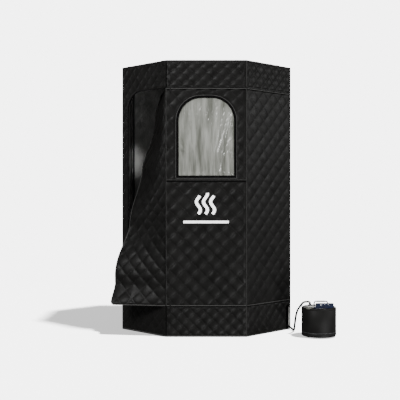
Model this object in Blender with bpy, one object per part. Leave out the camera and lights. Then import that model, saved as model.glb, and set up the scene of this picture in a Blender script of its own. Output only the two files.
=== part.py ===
"""Portable steam sauna: a quilted cabin on a tube frame, a wraparound zip door, and a steam generator.

Metres, +Z up. The origin is the centre of the floor mat's underside, and the door faces -Y.
"""

import bmesh
import bpy
from math import cos, pi, radians, sin, sqrt
from mathutils import Matrix, Vector

# Cabin: an octagon made of a square with its corners cut at 45 degrees
HEIGHT = 1.80
HALF_WIDTH = 0.578
HALF_FRONT = 0.2615
FABRIC = 0.005
GAP = 0.0003
CORNER_GAP = 0.0025
MAT = 0.005

# Door and its opening
SKIRT_TOP = 0.20
DOOR_TOP = 1.62
DOOR_GAP = 0.002
SEAM_Z = 1.015
STRIP = 0.060
OPENING_R = 0.125
OPENING_LOW_R = 0.035
FLAP_START = 0.0065
FLAP_WIDTH = 0.375
FLAP_R = 0.115
FLAP_LOW_R = 0.025
FLAP_CORD_R = 0.0018
FLAP_ANGLES = (69.0, 45.0, 29.0, 14.0)
WINDOW = (-0.184, 1.047, 0.182, 1.557)
WINDOW_R = 0.150
FILM = 0.001
FILM_LAP = 0.012

# Frame
TUBE_R = 0.0095
SLEEVE_R = 0.0125
SLEEVE_LENGTH = 0.045
POST_INSET = 0.030
BOTTOM_RAIL_Z = 0.0152
TOP_RAIL_Z = 1.782

# Zips
TAPE = 0.0012
TAPE_HEIGHT = 0.008
SLIDER_X = -0.235
SLIDER = (0.009, 0.0045, 0.013)
PULL = (0.0065, 0.0016, 0.030)

# Hose port in the front right skirt, measured from the right vertex
PORT_CENTRE = 0.029
PORT_HALF = 0.011
PORT_TOP = 0.165
BINDING = 0.0045

# Steam generator
GENERATOR = Vector((0.735, -0.546, 0.0))
BODY_R = 0.1125
SHELL = 0.0025
FOOT_HEIGHT = 0.006
FOOT_R = 0.010
FOOT_CIRCLE = 0.080
BASE_TOP = 0.034
BASE_WALL = 0.003
LID_Z = 0.181
DECK_Z = 0.195
POT_R = 0.088
POT_WALL = 0.002
POT_LOW = 0.045
POT_FLANGE = 0.172
POT_TOP = 0.176
COIL_R = 0.055
COIL_Z = 0.070
ROD_R = 0.004
FILLER = Vector((0.678, -0.598))
FILLER_R = 0.036
SEAT_Z = 0.187
CAP_TOP = 0.203
NECK_R = 0.0125
NECK_DEPTH = 0.005
HANDLE_PLACE = (0.020, 0.046)
HANDLE_HALF = 0.044
HANDLE_RISE = 0.027
HANDLE_BEND = 0.012
HANDLE_R = 0.0045
POD_X = (0.690, 0.825)
POD_Y = (-0.642, -0.580)
POD_Z = (0.1975, 0.2215)
BUTTON_X = (0.741, 0.765, 0.789)
BUTTON_Y = -0.606
BUTTON_R = 0.0055
BUTTON_HOLE_R = 0.0060

# Steam hose
HOSE_R = 0.0065
HOSE_STEP = 0.030
ELBOW = (
    (0.6820, -0.5050, 0.2085),
    (0.6820, -0.5050, 0.2130),
    (0.6790, -0.5047, 0.2172),
    (0.6735, -0.5040, 0.2196),
    (0.6640, -0.5030, 0.2200),
    (0.6520, -0.5015, 0.2188),
    (0.6420, -0.4998, 0.2155),
    (0.6345, -0.4978, 0.2100),
    (0.6300, -0.4958, 0.2035),
)
COLLAR_LENGTH = 0.016
HOSE_ROUTE = (
    (0.6206, -0.4916, 0.1900),
    (0.6140, -0.4887, 0.1804),
    (0.603, -0.482, 0.160),
    (0.595, -0.468, 0.125),
    (0.592, -0.449, 0.090),
    (0.591, -0.425, 0.059),
    (0.592, -0.398, 0.034),
    (0.593, -0.370, 0.015),
    (0.592, -0.342, 0.008),
    (0.586, -0.316, 0.010),
    (0.574, -0.296, 0.018),
    (0.555, -0.281, 0.028),
    (0.530, -0.270, 0.033),
    (0.500, -0.263, 0.030),
    (0.465, -0.259, 0.022),
    (0.425, -0.256, 0.015),
    (0.385, -0.248, 0.013),
    (0.345, -0.231, 0.013),
    (0.310, -0.206, 0.013),
    (0.275, -0.176, 0.013),
    (0.240, -0.146, 0.014),
    (0.205, -0.121, 0.016),
    (0.170, -0.105, 0.019),
    (0.142, -0.100, 0.020),
    (0.1259, -0.100, 0.020),
)

# Steam outlet on the cabin floor
OUTLET = Vector((0.050, -0.100, 0.0))
OUTLET_R = 0.052
OUTLET_STUB = 0.0755

UP = Vector((0.0, 0.0, 1.0))
MATERIALS = {
    "quilt": ((0.012, 0.012, 0.013), 0.55, 0.0),
    "mat": ((0.02, 0.02, 0.022), 0.85, 0.0),
    "film": ((0.55, 0.54, 0.51), 0.15, 0.0),
    "piping": ((0.05, 0.05, 0.052), 0.6, 0.0),
    "tube": ((0.70, 0.71, 0.72), 0.35, 0.8),
    "zip": ((0.03, 0.03, 0.032), 0.4, 0.3),
    "black_plastic": ((0.010, 0.010, 0.011), 0.45, 0.0),
    "base_plastic": ((0.016, 0.016, 0.017), 0.5, 0.0),
    "rubber": ((0.012, 0.012, 0.012), 0.8, 0.0),
    "steel": ((0.55, 0.56, 0.57), 0.25, 1.0),
    "panel": ((0.01, 0.03, 0.10), 0.08, 0.0),
    "button": ((0.35, 0.40, 0.48), 0.3, 0.0),
    "silver": ((0.50, 0.51, 0.52), 0.3, 0.7),
    "grey_plastic": ((0.18, 0.19, 0.20), 0.4, 0.0),
    "board": ((0.01, 0.09, 0.04), 0.5, 0.0),
    "hose": ((0.010, 0.010, 0.011), 0.45, 0.0),
}


def clear_scene():
    for obj in list(bpy.context.scene.objects):
        bpy.data.objects.remove(obj, do_unlink=True)


def material(name):
    found = bpy.data.materials.get(name)
    if found:
        return found
    colour, roughness, metallic = MATERIALS[name]
    made = bpy.data.materials.new(name)
    made.use_nodes = True
    shader = made.node_tree.nodes["Principled BSDF"]
    shader.inputs["Base Color"].default_value = (*colour, 1.0)
    shader.inputs["Roughness"].default_value = roughness
    shader.inputs["Metallic"].default_value = metallic
    made.diffuse_color = (*colour, 1.0)
    return made


def add(name, data, slot, parent=None):
    """A new object in the scene, kept in place under its parent."""
    obj = bpy.data.objects.new(name, data)
    bpy.context.scene.collection.objects.link(obj)
    data.materials.append(material(slot))
    if parent:
        obj.parent = parent
        obj.matrix_parent_inverse = Matrix.Translation(parent.location).inverted()
    return obj


def mesh_object(name, bm, slot, parent=None):
    if bm.calc_volume(signed=True) < 0:
        bmesh.ops.reverse_faces(bm, faces=bm.faces)
    mesh = bpy.data.meshes.new(name)
    bm.to_mesh(mesh)
    bm.free()
    mesh.shade_smooth()
    mesh.set_sharp_from_angle(angle=radians(35))
    return add(name, mesh, slot, parent)


def pivot(name, location, parent=None):
    """An empty on a joint's axis."""
    empty = bpy.data.objects.new(name, None)
    empty.location = location
    bpy.context.scene.collection.objects.link(empty)
    if parent:
        empty.parent = parent
        empty.matrix_parent_inverse = Matrix.Translation(parent.location).inverted()
    return empty


def corner(index, inset=0.0):
    """Corner number index of the cabin's plan, counted anticlockwise from the front left."""
    half = HALF_WIDTH - inset
    side = HALF_FRONT - inset * (sqrt(2.0) - 1.0)
    plan = (
        (-side, -half),
        (side, -half),
        (half, -side),
        (half, side),
        (side, half),
        (-side, half),
        (-half, side),
        (-half, -side),
    )
    return Vector((*plan[index % 8], 0.0))


def arc(centre, radius, start, end, steps=8):
    """Points on an arc, with its angles in degrees."""
    angles = [radians(start + (end - start) * i / steps) for i in range(steps + 1)]
    return [(centre[0] + radius * cos(a), centre[1] + radius * sin(a)) for a in angles]


def rectangle(left, low, right, high):
    return [(left, low), (right, low), (right, high), (left, high)]


def slab(name, origin, direction, loops, slot, depth=FABRIC, inner=True, parent=None):
    """A flat sheet standing on a vertical plane: loops are outlines in (along, up), holes among them.

    direction x up is the face's outward normal, and the sheet lies inside that face or outside it.
    """
    curve = bpy.data.curves.new(name, "CURVE")
    curve.dimensions = "2D"
    curve.fill_mode = "BOTH"
    curve.extrude = depth / 2
    for loop in loops:
        spline = curve.splines.new("POLY")
        spline.points.add(len(loop) - 1)
        for point, (along, up) in zip(spline.points, loop):
            point.co = (along, up, 0.0, 1.0)
        spline.use_cyclic_u = True
    along = direction.normalized()
    outward = along.cross(UP)
    centre = origin + outward * (-depth / 2 if inner else depth / 2)
    obj = add(name, curve, slot)
    obj.matrix_world = Matrix.Translation(centre) @ Matrix((along, UP, outward)).transposed().to_4x4()
    if parent:
        obj.parent = parent
        obj.matrix_parent_inverse = Matrix.Translation(parent.location).inverted()
    return obj


def wall(name, side, loops, slot="quilt", parent=None):
    """A slab on one side of the cabin, with its outer face on the plan."""
    start = corner(side)
    return slab(name, start, corner(side + 1) - start, loops, slot, parent=parent)


def side_length(side):
    return (corner(side + 1) - corner(side)).length


def full_side(side, low, high):
    return rectangle(CORNER_GAP, low, side_length(side) - CORNER_GAP, high)


def tube(name, points, radius, slot, cyclic=False, resolution=2, parent=None):
    """A round bar along a line of points."""
    curve = bpy.data.curves.new(name, "CURVE")
    curve.dimensions = "3D"
    curve.bevel_depth = radius
    curve.bevel_resolution = resolution
    curve.use_fill_caps = True
    spline = curve.splines.new("POLY")
    spline.points.add(len(points) - 1)
    for point, place in zip(spline.points, points):
        point.co = (*place, 1.0)
    spline.use_cyclic_u = cyclic
    return add(name, curve, slot, parent)


def turned(name, profile, centre, slot, closed=False, segments=32, parent=None):
    """A body of revolution about the vertical through centre; profile is (radius, height)."""
    bm = bmesh.new()
    rings = []
    for radius, height in profile:
        place = centre + Vector((0.0, 0.0, height))
        if radius == 0.0:
            rings.append([bm.verts.new(place)])
            continue
        turn = [2 * pi * i / segments for i in range(segments)]
        rings.append([bm.verts.new(place + Vector((radius * cos(a), radius * sin(a), 0.0))) for a in turn])
    pairs = list(zip(rings, rings[1:]))
    if closed:
        pairs.append((rings[-1], rings[0]))
    for first, second in pairs:
        for i in range(segments):
            j = (i + 1) % segments
            if len(first) == 1:
                bm.faces.new((first[0], second[j], second[i]))
            elif len(second) == 1:
                bm.faces.new((first[i], first[j], second[0]))
            else:
                bm.faces.new((first[i], first[j], second[j], second[i]))
    return mesh_object(name, bm, slot, parent)


def block(name, low, high, slot, parent=None):
    bm = bmesh.new()
    bmesh.ops.create_cube(bm, size=1.0)
    size = Vector(high) - Vector(low)
    bmesh.ops.scale(bm, vec=size, verts=bm.verts)
    bmesh.ops.translate(bm, vec=(Vector(high) + Vector(low)) / 2, verts=bm.verts)
    return mesh_object(name, bm, slot, parent)


def rod(name, start, end, radius, slot, segments=24, parent=None):
    """A round bar with flat ends between two points."""
    axis = Vector(end) - Vector(start)
    bm = bmesh.new()
    bmesh.ops.create_cone(
        bm, cap_ends=True, segments=segments, radius1=radius, radius2=radius, depth=axis.length
    )
    turn = axis.to_track_quat("Z", "Y").to_matrix().to_4x4()
    bm.transform(Matrix.Translation((Vector(start) + Vector(end)) / 2) @ turn)
    return mesh_object(name, bm, slot, parent)


def combine(obj, other, operation):
    """A Boolean on obj; the other shape is only a tool and isn't part of the object."""
    modifier = obj.modifiers.new(operation.title(), "BOOLEAN")
    modifier.operation = operation
    modifier.object = other
    other.hide_render = True
    other.display_type = "WIRE"


def extrude(bm, outline, move):
    """A closed body from an outline of vertices and a copy of it moved along."""
    moved = [bm.verts.new(v.co + Vector(move)) for v in outline]
    bm.faces.new(reversed(outline))
    bm.faces.new(moved)
    for i in range(len(outline)):
        j = (i + 1) % len(outline)
        bm.faces.new((outline[i], outline[j], moved[j], moved[i]))


def prism(name, plan, low, high, slot):
    """An upright prism over a plan outline."""
    bm = bmesh.new()
    bottom = [bm.verts.new((x, y, low)) for x, y in plan]
    extrude(bm, bottom, (0.0, 0.0, high - low))
    return mesh_object(name, bm, slot)


def smooth_route(route, step):
    """Points about one step apart on a Catmull-Rom curve through the route's points."""
    knots = [Vector(p) for p in route]
    knots = [2 * knots[0] - knots[1], *knots, 2 * knots[-1] - knots[-2]]
    points = []
    for a, b, c, d in zip(knots, knots[1:], knots[2:], knots[3:]):
        count = max(1, round((c - b).length / step))
        for i in range(count):
            t = i / count
            square = (2 * a - 5 * b + 4 * c - d) * t * t
            cube = (3 * b - a - 3 * c + d) * t**3
            points.append((2 * b + (c - a) * t + square + cube) / 2)
    return [*points, knots[-2]]


# Cabin


def make_cabin():
    plan = [corner(i).xy for i in range(8)]
    prism("floor_mat", plan, 0.0, MAT, "mat")
    prism("roof_panel", plan, HEIGHT - FABRIC, HEIGHT, "quilt")
    low = MAT + GAP
    high = HEIGHT - FABRIC - GAP
    names = {2: "wall_right", 3: "wall_back_right", 4: "wall_back", 5: "wall_back_left", 6: "wall_left"}
    for side, name in names.items():
        wall(name, side, [full_side(side, low, high)])
    for side, name in ((0, "front"), (1, "front_right")):
        wall(f"band_{name}", side, [full_side(side, DOOR_TOP, high)])
    wall("skirt_front", 0, [full_side(0, low, SKIRT_TOP)])
    wall("skirt_front_right", 1, [skirt_with_port(low)])
    wall("doorway_panel", 7, [doorway_outline(low, high)])


def skirt_with_port(low):
    right = side_length(1) - CORNER_GAP
    centre = side_length(1) - PORT_CENTRE
    notch = arc((centre, PORT_TOP - PORT_HALF), PORT_HALF, 180.0, 0.0)
    return [
        (CORNER_GAP, low),
        (centre - PORT_HALF, low),
        *notch,
        (centre + PORT_HALF, low),
        (right, low),
        (right, SKIRT_TOP),
        (CORNER_GAP, SKIRT_TOP),
    ]


def doorway_outline(low, high):
    right = side_length(7) - CORNER_GAP
    edge = STRIP + OPENING_R
    return [
        (CORNER_GAP, low),
        (right, low),
        (right, SKIRT_TOP),
        *arc((STRIP + OPENING_LOW_R, SKIRT_TOP + OPENING_LOW_R), OPENING_LOW_R, 270.0, 180.0),
        *arc((edge, DOOR_TOP - OPENING_R), OPENING_R, 180.0, 90.0),
        (right, DOOR_TOP),
        (right, high),
        (CORNER_GAP, high),
    ]


def make_frame():
    for i in range(8):
        low = BOTTOM_RAIL_Z + TUBE_R + GAP
        high = TOP_RAIL_Z - TUBE_R - GAP
        profile = (
            (0.0, low),
            (SLEEVE_R, low),
            (SLEEVE_R, low + SLEEVE_LENGTH),
            (TUBE_R, low + SLEEVE_LENGTH),
            (TUBE_R, high - SLEEVE_LENGTH),
            (SLEEVE_R, high - SLEEVE_LENGTH),
            (SLEEVE_R, high),
            (0.0, high),
        )
        turned(f"post_{i + 1}", profile, corner(i, POST_INSET), "tube", segments=16)
    for name, height in (("bottom_rail_ring", BOTTOM_RAIL_Z), ("top_rail_ring", TOP_RAIL_Z)):
        ring = [corner(i, POST_INSET) + UP * height for i in range(8)]
        tube(name, ring, TUBE_R, "tube", cyclic=True)


# Door


def make_door():
    side_axis = pivot("door_side_axis", corner(2))
    front_axis = pivot("door_front_axis", corner(1), side_axis)
    low = SKIRT_TOP + DOOR_GAP
    high = DOOR_TOP - DOOR_GAP
    wall("door_side_panel", 1, [full_side(1, low, high)], parent=side_axis)
    wall("door_lower_panel", 0, [full_side(0, low, SEAM_Z)], parent=front_axis)
    hole = window_outline(0.0)
    frame = [full_side(0, SEAM_Z + GAP, high), hole]
    wall("door_window_panel", 0, frame, parent=front_axis)
    film_plane = corner(0) + Vector((0.0, FABRIC + GAP, 0.0))
    outline = [window_outline(FILM_LAP)]
    slab("window_film", film_plane, Vector((1, 0, 0)), outline, "film", FILM, parent=front_axis)
    make_flap(front_axis, low, high)
    make_zips(front_axis)


def window_outline(lap):
    """The arched window along the front face, made larger all round by lap."""
    left, low, right, high = WINDOW
    left += HALF_FRONT - lap
    right += HALF_FRONT + lap
    low -= lap
    high += lap
    radius = WINDOW_R + lap
    return [
        (left, low),
        (right, low),
        *arc((right - radius, high - radius), radius, 0.0, 90.0),
        *arc((left + radius, high - radius), radius, 90.0, 180.0),
    ]


def make_flap(front_axis, low, high):
    """The door's free part past the front left corner: stiff sections that turn about that corner."""
    axis = corner(0)
    swing = pivot("door_flap_axis", axis, front_axis)
    foot = axis + UP * low
    head = axis + UP * high
    rod("flap_corner_cord", foot, head, FLAP_CORD_R, "piping", segments=12, parent=swing)
    count = len(FLAP_ANGLES)
    height = (high - low) / count
    for i, angle in enumerate(FLAP_ANGLES):
        bottom = low + i * height + (DOOR_GAP / 2 if i else 0.0)
        top = low + (i + 1) * height - (DOOR_GAP / 2 if i < count - 1 else 0.0)
        outline = [(FLAP_START, bottom), (FLAP_WIDTH, bottom), (FLAP_WIDTH, top), (FLAP_START, top)]
        if i == 0:
            outline[1:2] = arc((FLAP_WIDTH - FLAP_LOW_R, bottom + FLAP_LOW_R), FLAP_LOW_R, 270.0, 360.0)
        if i == count - 1:
            outline[2:3] = arc((FLAP_WIDTH - FLAP_R, top - FLAP_R), FLAP_R, 0.0, 90.0)
        direction = Vector((-sin(radians(angle)), cos(radians(angle)), 0.0))
        slab(f"flap_section_{i + 1}", axis, direction, [outline], "quilt", inner=False, parent=swing)


def tape_plan():
    """Plan of a zip tape on the front and front right faces."""
    outer = -(GAP + TAPE)
    ends = (corner(0), corner(0, -GAP), corner(0, outer))
    left = [(ends[0].x + CORNER_GAP, p.y) for p in ends[1:]]
    right = [corner(2, -GAP).xy - (corner(2) - corner(1)).normalized().xy * CORNER_GAP]
    right.append(corner(2, outer).xy - (corner(2) - corner(1)).normalized().xy * CORNER_GAP)
    return [left[1], corner(1, outer).xy, right[1], right[0], corner(1, -GAP).xy, left[0]]


def make_zips(front_axis):
    prism("zip_tape_upper", tape_plan(), DOOR_TOP + GAP, DOOR_TOP + TAPE_HEIGHT, "zip")
    prism("zip_tape_lower", tape_plan(), SKIRT_TOP - TAPE_HEIGHT, SKIRT_TOP - GAP, "zip")
    width, depth, height = SLIDER
    pull_width, pull_depth, pull_length = PULL
    face = -HALF_WIDTH - 2 * GAP
    for name, low in (("upper", DOOR_TOP - DOOR_GAP - height), ("lower", SKIRT_TOP + GAP)):
        centre = Vector((SLIDER_X, face - depth / 2, low + height / 2))
        half = Vector((width / 2, depth / 2, height / 2))
        slider_axis = pivot(f"zip_slider_{name}_axis", centre, front_axis)
        block(f"zip_slider_{name}", centre - half, centre + half, "zip", slider_axis)
        top = low + height / 2
        pull_face = face - depth - GAP
        pull_axis = pivot(
            f"zip_pull_{name}_axis", (SLIDER_X, pull_face - pull_depth / 2, top), slider_axis
        )
        low_corner = (SLIDER_X - pull_width / 2, pull_face - pull_depth, top - pull_length)
        high_corner = (SLIDER_X + pull_width / 2, pull_face, top)
        block(f"zip_pull_{name}", low_corner, high_corner, "zip", pull_axis)


# Hose port, steam outlet and hose


def make_port_binding():
    """A bound edge round the slit that the hose goes through."""
    start = corner(1)
    direction = corner(2) - start
    outward = direction.normalized().cross(UP)
    centre = side_length(1) - PORT_CENTRE
    low = MAT + GAP
    inner = PORT_HALF + GAP
    outer = PORT_HALF + BINDING
    spring = PORT_TOP - PORT_HALF
    outline = [
        (centre - outer, low),
        (centre - inner, low),
        *arc((centre, spring), inner, 180.0, 0.0),
        (centre + inner, low),
        (centre + outer, low),
        *arc((centre, spring), outer, 0.0, 180.0),
    ]
    slab("hose_port_binding", start + outward * GAP, direction, [outline], "piping", 0.0015, inner=False)


def make_steam_outlet():
    low = MAT + GAP
    profile = (
        (0.0, low),
        (OUTLET_R - 0.004, low),
        (OUTLET_R, low + 0.004),
        (OUTLET_R, 0.034),
        (OUTLET_R - 0.008, 0.043),
        (OUTLET_R - 0.014, 0.045),
        (OUTLET_R - 0.016, 0.041),
        (0.0, 0.041),
    )
    body = turned("steam_outlet", profile, OUTLET, "grey_plastic")
    height = UP * 0.020
    stub = rod(
        "steam_outlet_stub",
        OUTLET + height,
        OUTLET + height + Vector((OUTLET_STUB, 0.0, 0.0)),
        HOSE_R + 0.002,
        "grey_plastic",
        segments=20,
    )
    combine(body, stub, "UNION")


def make_hose():
    tube("steam_hose", smooth_route(HOSE_ROUTE, HOSE_STEP), HOSE_R, "hose")


# Steam generator


def rounded_top(radius, high, fillet):
    """The fillet of a turned profile, from its top face down to its side."""
    return arc((radius - fillet, high - fillet), fillet, 90.0, 0.0, 5)


def make_generator_body():
    fillet = 0.008
    low = FOOT_HEIGHT + GAP
    bottom_arc = arc((BODY_R - fillet, low + fillet), fillet, 270.0, 360.0, 4)
    base = [
        (0.0, low),
        *bottom_arc,
        (BODY_R, BASE_TOP - GAP),
        (BODY_R - SHELL, BASE_TOP - GAP),
        (BODY_R - SHELL, low + fillet),
        (BODY_R - fillet, low + BASE_WALL),
        (0.0, low + BASE_WALL),
    ]
    turned("generator_base", base, GENERATOR, "base_plastic")
    shell = [
        (BODY_R, BASE_TOP),
        (BODY_R, LID_Z - GAP),
        (BODY_R - SHELL, LID_Z - GAP),
        (BODY_R - SHELL, BASE_TOP),
    ]
    turned("generator_housing", shell, GENERATOR, "black_plastic", closed=True)
    for i in range(3):
        turn = pi / 2 + i * 2 * pi / 3
        place = GENERATOR + Vector((FOOT_CIRCLE * cos(turn), FOOT_CIRCLE * sin(turn), 0.0))
        foot = ((0.0, 0.0), (FOOT_R - 0.001, 0.0), (FOOT_R, 0.001), (FOOT_R, FOOT_HEIGHT), (0.0, FOOT_HEIGHT))
        turned(f"generator_foot_{i + 1}", foot, place, "rubber", segments=16)


def make_boiler():
    rim = BODY_R - SHELL - 0.0007
    pot = [
        (0.0, POT_LOW),
        (POT_R, POT_LOW),
        (POT_R, POT_FLANGE),
        (rim, POT_FLANGE),
        (rim, POT_FLANGE + POT_WALL),
        (POT_R, POT_FLANGE + POT_WALL),
        (POT_R, POT_TOP),
        (POT_R - POT_WALL, POT_TOP),
        (POT_R - POT_WALL, POT_LOW + POT_WALL),
        (0.0, POT_LOW + POT_WALL),
    ]
    turned("boiler_pot", pot, GENERATOR, "steel")
    seal = [
        (POT_R - 2 * POT_WALL, POT_TOP + GAP),
        (POT_R + POT_WALL, POT_TOP + GAP),
        (POT_R + POT_WALL, LID_Z - GAP),
        (POT_R - 2 * POT_WALL, LID_Z - GAP),
    ]
    turned("lid_gasket", seal, GENERATOR, "rubber", closed=True)
    foot = POT_LOW + POT_WALL + GAP
    angles = [radians(20.0 + 320.0 * i / 24) for i in range(25)]
    loop = [GENERATOR + Vector((COIL_R * cos(a), COIL_R * sin(a), COIL_Z)) for a in angles]
    ends = [Vector((loop[0].x, loop[0].y, foot)), Vector((loop[-1].x, loop[-1].y, foot))]
    tube("heating_element", [ends[0], *loop, ends[1]], ROD_R, "steel")
    board_low = FOOT_HEIGHT + 0.006
    corner_low = GENERATOR + Vector((-0.050, -0.035, board_low))
    corner_high = GENERATOR + Vector((0.050, 0.035, board_low + 0.0016))
    block("control_board", corner_low, corner_high, "board")


def make_lid():
    fillet = 0.010
    profile = [
        (0.0, DECK_Z),
        *rounded_top(BODY_R, DECK_Z, fillet),
        (BODY_R, LID_Z),
        (0.0, LID_Z),
    ]
    lid = turned("generator_lid", profile, GENERATOR, "black_plastic", segments=48)
    filler = Vector((*FILLER, 0.0))
    above = DECK_Z + 0.055
    seat = filler + UP * SEAT_Z
    pocket = rod("filler_pocket", seat, filler + UP * above, FILLER_R + 0.001, "black_plastic", 32)
    below = filler + UP * (LID_Z - 0.011)
    neck = rod("filler_neck", below, seat + UP * 0.003, NECK_R + 0.0015, "black_plastic")
    combine(lid, pocket, "DIFFERENCE")
    combine(lid, neck, "DIFFERENCE")
    cap_axis = pivot("filler_cap_axis", filler + UP * SEAT_Z)
    low = SEAT_Z + GAP
    cap = (
        (0.0, low - NECK_DEPTH),
        (NECK_R, low - NECK_DEPTH),
        (NECK_R, low),
        (FILLER_R, low),
        (FILLER_R, CAP_TOP - 0.003),
        (FILLER_R - 0.003, CAP_TOP),
        (FILLER_R - 0.012, CAP_TOP),
        (FILLER_R - 0.014, CAP_TOP - 0.002),
        (0.0, CAP_TOP - 0.002),
    )
    turned("filler_cap", cap, filler, "silver", parent=cap_axis)


def make_handle():
    centre = GENERATOR + Vector((*HANDLE_PLACE, 0.0))
    low = DECK_Z + GAP
    bend_x = HANDLE_HALF - HANDLE_BEND
    bend_z = low + HANDLE_RISE - HANDLE_BEND
    arch = [(-HANDLE_HALF, low), (-HANDLE_HALF, low + 0.006)]
    arch += arc((-bend_x, bend_z), HANDLE_BEND, 180.0, 90.0, 4)
    arch += arc((bend_x, bend_z), HANDLE_BEND, 90.0, 0.0, 4)
    arch += [(HANDLE_HALF, low + 0.006), (HANDLE_HALF, low)]
    tube("carry_handle", [centre + Vector((x, 0.0, z)) for x, z in arch], HANDLE_R, "grey_plastic")


def make_control_panel():
    slope = (POD_Z[1] - POD_Z[0]) / (POD_Y[1] - POD_Y[0])
    low = DECK_Z + GAP
    profile = ((POD_Y[0], low), (POD_Y[1], low), (POD_Y[1], POD_Z[1]), (POD_Y[0], POD_Z[0]))
    bm = bmesh.new()
    side = [bm.verts.new((POD_X[0], y, z)) for y, z in profile]
    extrude(bm, side, (POD_X[1] - POD_X[0], 0.0, 0.0))
    pod = mesh_object("control_panel", bm, "panel")
    rim = BODY_R - 0.0105
    within = rod("panel_rim", GENERATOR + UP * 0.15, GENERATOR + UP * 0.25, rim, "panel", 64)
    combine(pod, within, "INTERSECT")
    filler = Vector((*FILLER, 0.0))
    clear = rod("panel_clearance", filler + UP * 0.15, filler + UP * 0.25, FILLER_R + 0.0015, "panel", 32)
    combine(pod, clear, "DIFFERENCE")
    normal = Vector((0.0, -slope, 1.0)).normalized()
    for i, x in enumerate(BUTTON_X):
        face_z = POD_Z[0] + (BUTTON_Y - POD_Y[0]) * slope
        centre = Vector((x, BUTTON_Y, face_z))
        deep = centre - normal * 0.0035
        hole = rod(f"button_hole_{i + 1}", deep, centre + normal * 0.01, BUTTON_HOLE_R, "panel", 20)
        combine(pod, hole, "DIFFERENCE")
        axis = pivot(f"button_{i + 1}_axis", centre)
        back = centre - normal * 0.0018
        rod(f"button_{i + 1}", back, centre + normal * 0.0017, BUTTON_R, "button", 20, parent=axis)


def make_outlet_elbow():
    foot = Vector((ELBOW[0][0], ELBOW[0][1], 0.0))
    flange = (
        (0.0, DECK_Z + GAP),
        (0.013, DECK_Z + GAP),
        (0.013, DECK_Z + 0.004),
        (0.009, DECK_Z + 0.006),
        (0.009, ELBOW[0][2] - GAP),
        (0.0, ELBOW[0][2] - GAP),
    )
    turned("outlet_flange", flange, foot, "grey_plastic", segments=24)
    tube("outlet_elbow", ELBOW, HOSE_R, "grey_plastic", resolution=3)
    end = Vector(ELBOW[-1])
    direction = (end - Vector(ELBOW[-2])).normalized()
    collar = (end + direction * 2 * GAP, end + direction * (2 * GAP + COLLAR_LENGTH))
    rod("hose_collar", *collar, HOSE_R + 0.0018, "grey_plastic", 24)


def make_power_inlet():
    back = GENERATOR.y + BODY_R + GAP
    low = (GENERATOR.x - 0.015, back, 0.050)
    high = (GENERATOR.x + 0.015, back + 0.014, 0.074)
    socket = block("power_inlet", low, high, "black_plastic")
    cut_low = (GENERATOR.x - 0.012, back + 0.004, 0.0535)
    cut_high = (GENERATOR.x + 0.012, back + 0.020, 0.0705)
    combine(socket, block("inlet_cavity", cut_low, cut_high, "black_plastic"), "DIFFERENCE")


def make_generator():
    make_generator_body()
    make_boiler()
    make_lid()
    make_handle()
    make_control_panel()
    make_outlet_elbow()
    make_power_inlet()


clear_scene()
make_cabin()
make_frame()
make_door()
make_port_binding()
make_steam_outlet()
make_hose()
make_generator()
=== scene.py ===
from math import ceil, cos, floor, pi, radians, sin, sqrt

import bmesh
import bpy
import numpy as np
from mathutils import Matrix, Vector, noise


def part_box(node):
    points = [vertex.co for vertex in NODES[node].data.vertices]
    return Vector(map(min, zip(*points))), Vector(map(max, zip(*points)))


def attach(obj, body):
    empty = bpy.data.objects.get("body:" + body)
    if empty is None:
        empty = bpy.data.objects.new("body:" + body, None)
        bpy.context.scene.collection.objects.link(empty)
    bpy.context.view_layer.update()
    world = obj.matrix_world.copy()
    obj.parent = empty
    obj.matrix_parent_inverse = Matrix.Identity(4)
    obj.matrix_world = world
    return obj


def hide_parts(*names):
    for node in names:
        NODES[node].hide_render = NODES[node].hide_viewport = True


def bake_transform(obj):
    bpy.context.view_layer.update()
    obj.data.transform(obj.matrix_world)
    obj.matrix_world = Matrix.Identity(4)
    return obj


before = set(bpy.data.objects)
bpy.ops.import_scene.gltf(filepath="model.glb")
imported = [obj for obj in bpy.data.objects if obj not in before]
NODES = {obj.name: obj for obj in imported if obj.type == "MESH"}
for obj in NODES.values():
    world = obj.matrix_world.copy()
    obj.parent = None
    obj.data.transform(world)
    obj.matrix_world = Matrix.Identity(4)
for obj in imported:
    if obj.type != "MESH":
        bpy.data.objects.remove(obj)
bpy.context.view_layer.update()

UP = np.array([0.0, 0.0, 1.0])
EVEN = (1.0, 1.0, 1.0)

# The cabin's plan, from the floor mat: a square with its corners cut at 45 degrees
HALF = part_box("floor_mat")[1].x
FRONT = min(abs(v.co.x) for v in NODES["floor_mat"].data.vertices)
FABRIC = 0.005
CORNER_GAP = 0.0025
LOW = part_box("wall_back")[0].z
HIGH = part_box("wall_back")[1].z
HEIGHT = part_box("roof_panel")[1].z
SKIRT_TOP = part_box("skirt_front")[1].z
DOOR_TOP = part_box("band_front")[0].z
DOOR_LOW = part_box("door_side_panel")[0].z
DOOR_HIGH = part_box("door_side_panel")[1].z
SEAM_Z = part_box("door_lower_panel")[1].z

# Quilting: two faces' random seeds, the diamonds' diagonals, how far the stitch lines sink into the
# cloth, how far the puffs stand out, and the width over which they flatten at an edge
LOWER_SEED = 41
FLAP_SEED = 77
DIAMOND = 0.0975
SMALL_DIAMOND = 0.078
SUNK = 0.0010
PUFF = 0.0075
SIDE_PUFF = 0.0050
SMALL_PUFF = 0.0085
SKIRT_PUFF = 0.0070
EDGE_FADE = 0.016

# The padding's back: its own puffs, and the lining's fine crinkles
LINING_PUFF = 0.0018
CRINKLE = 0.0009
CRINKLE_SIZE = 0.05

# The cloth's slow waves: how high, how wide, and how far in from an edge they fade
DRAPE = 0.0022
DRAPE_SIZE = 0.34
DRAPE_FADE = 0.12

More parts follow.
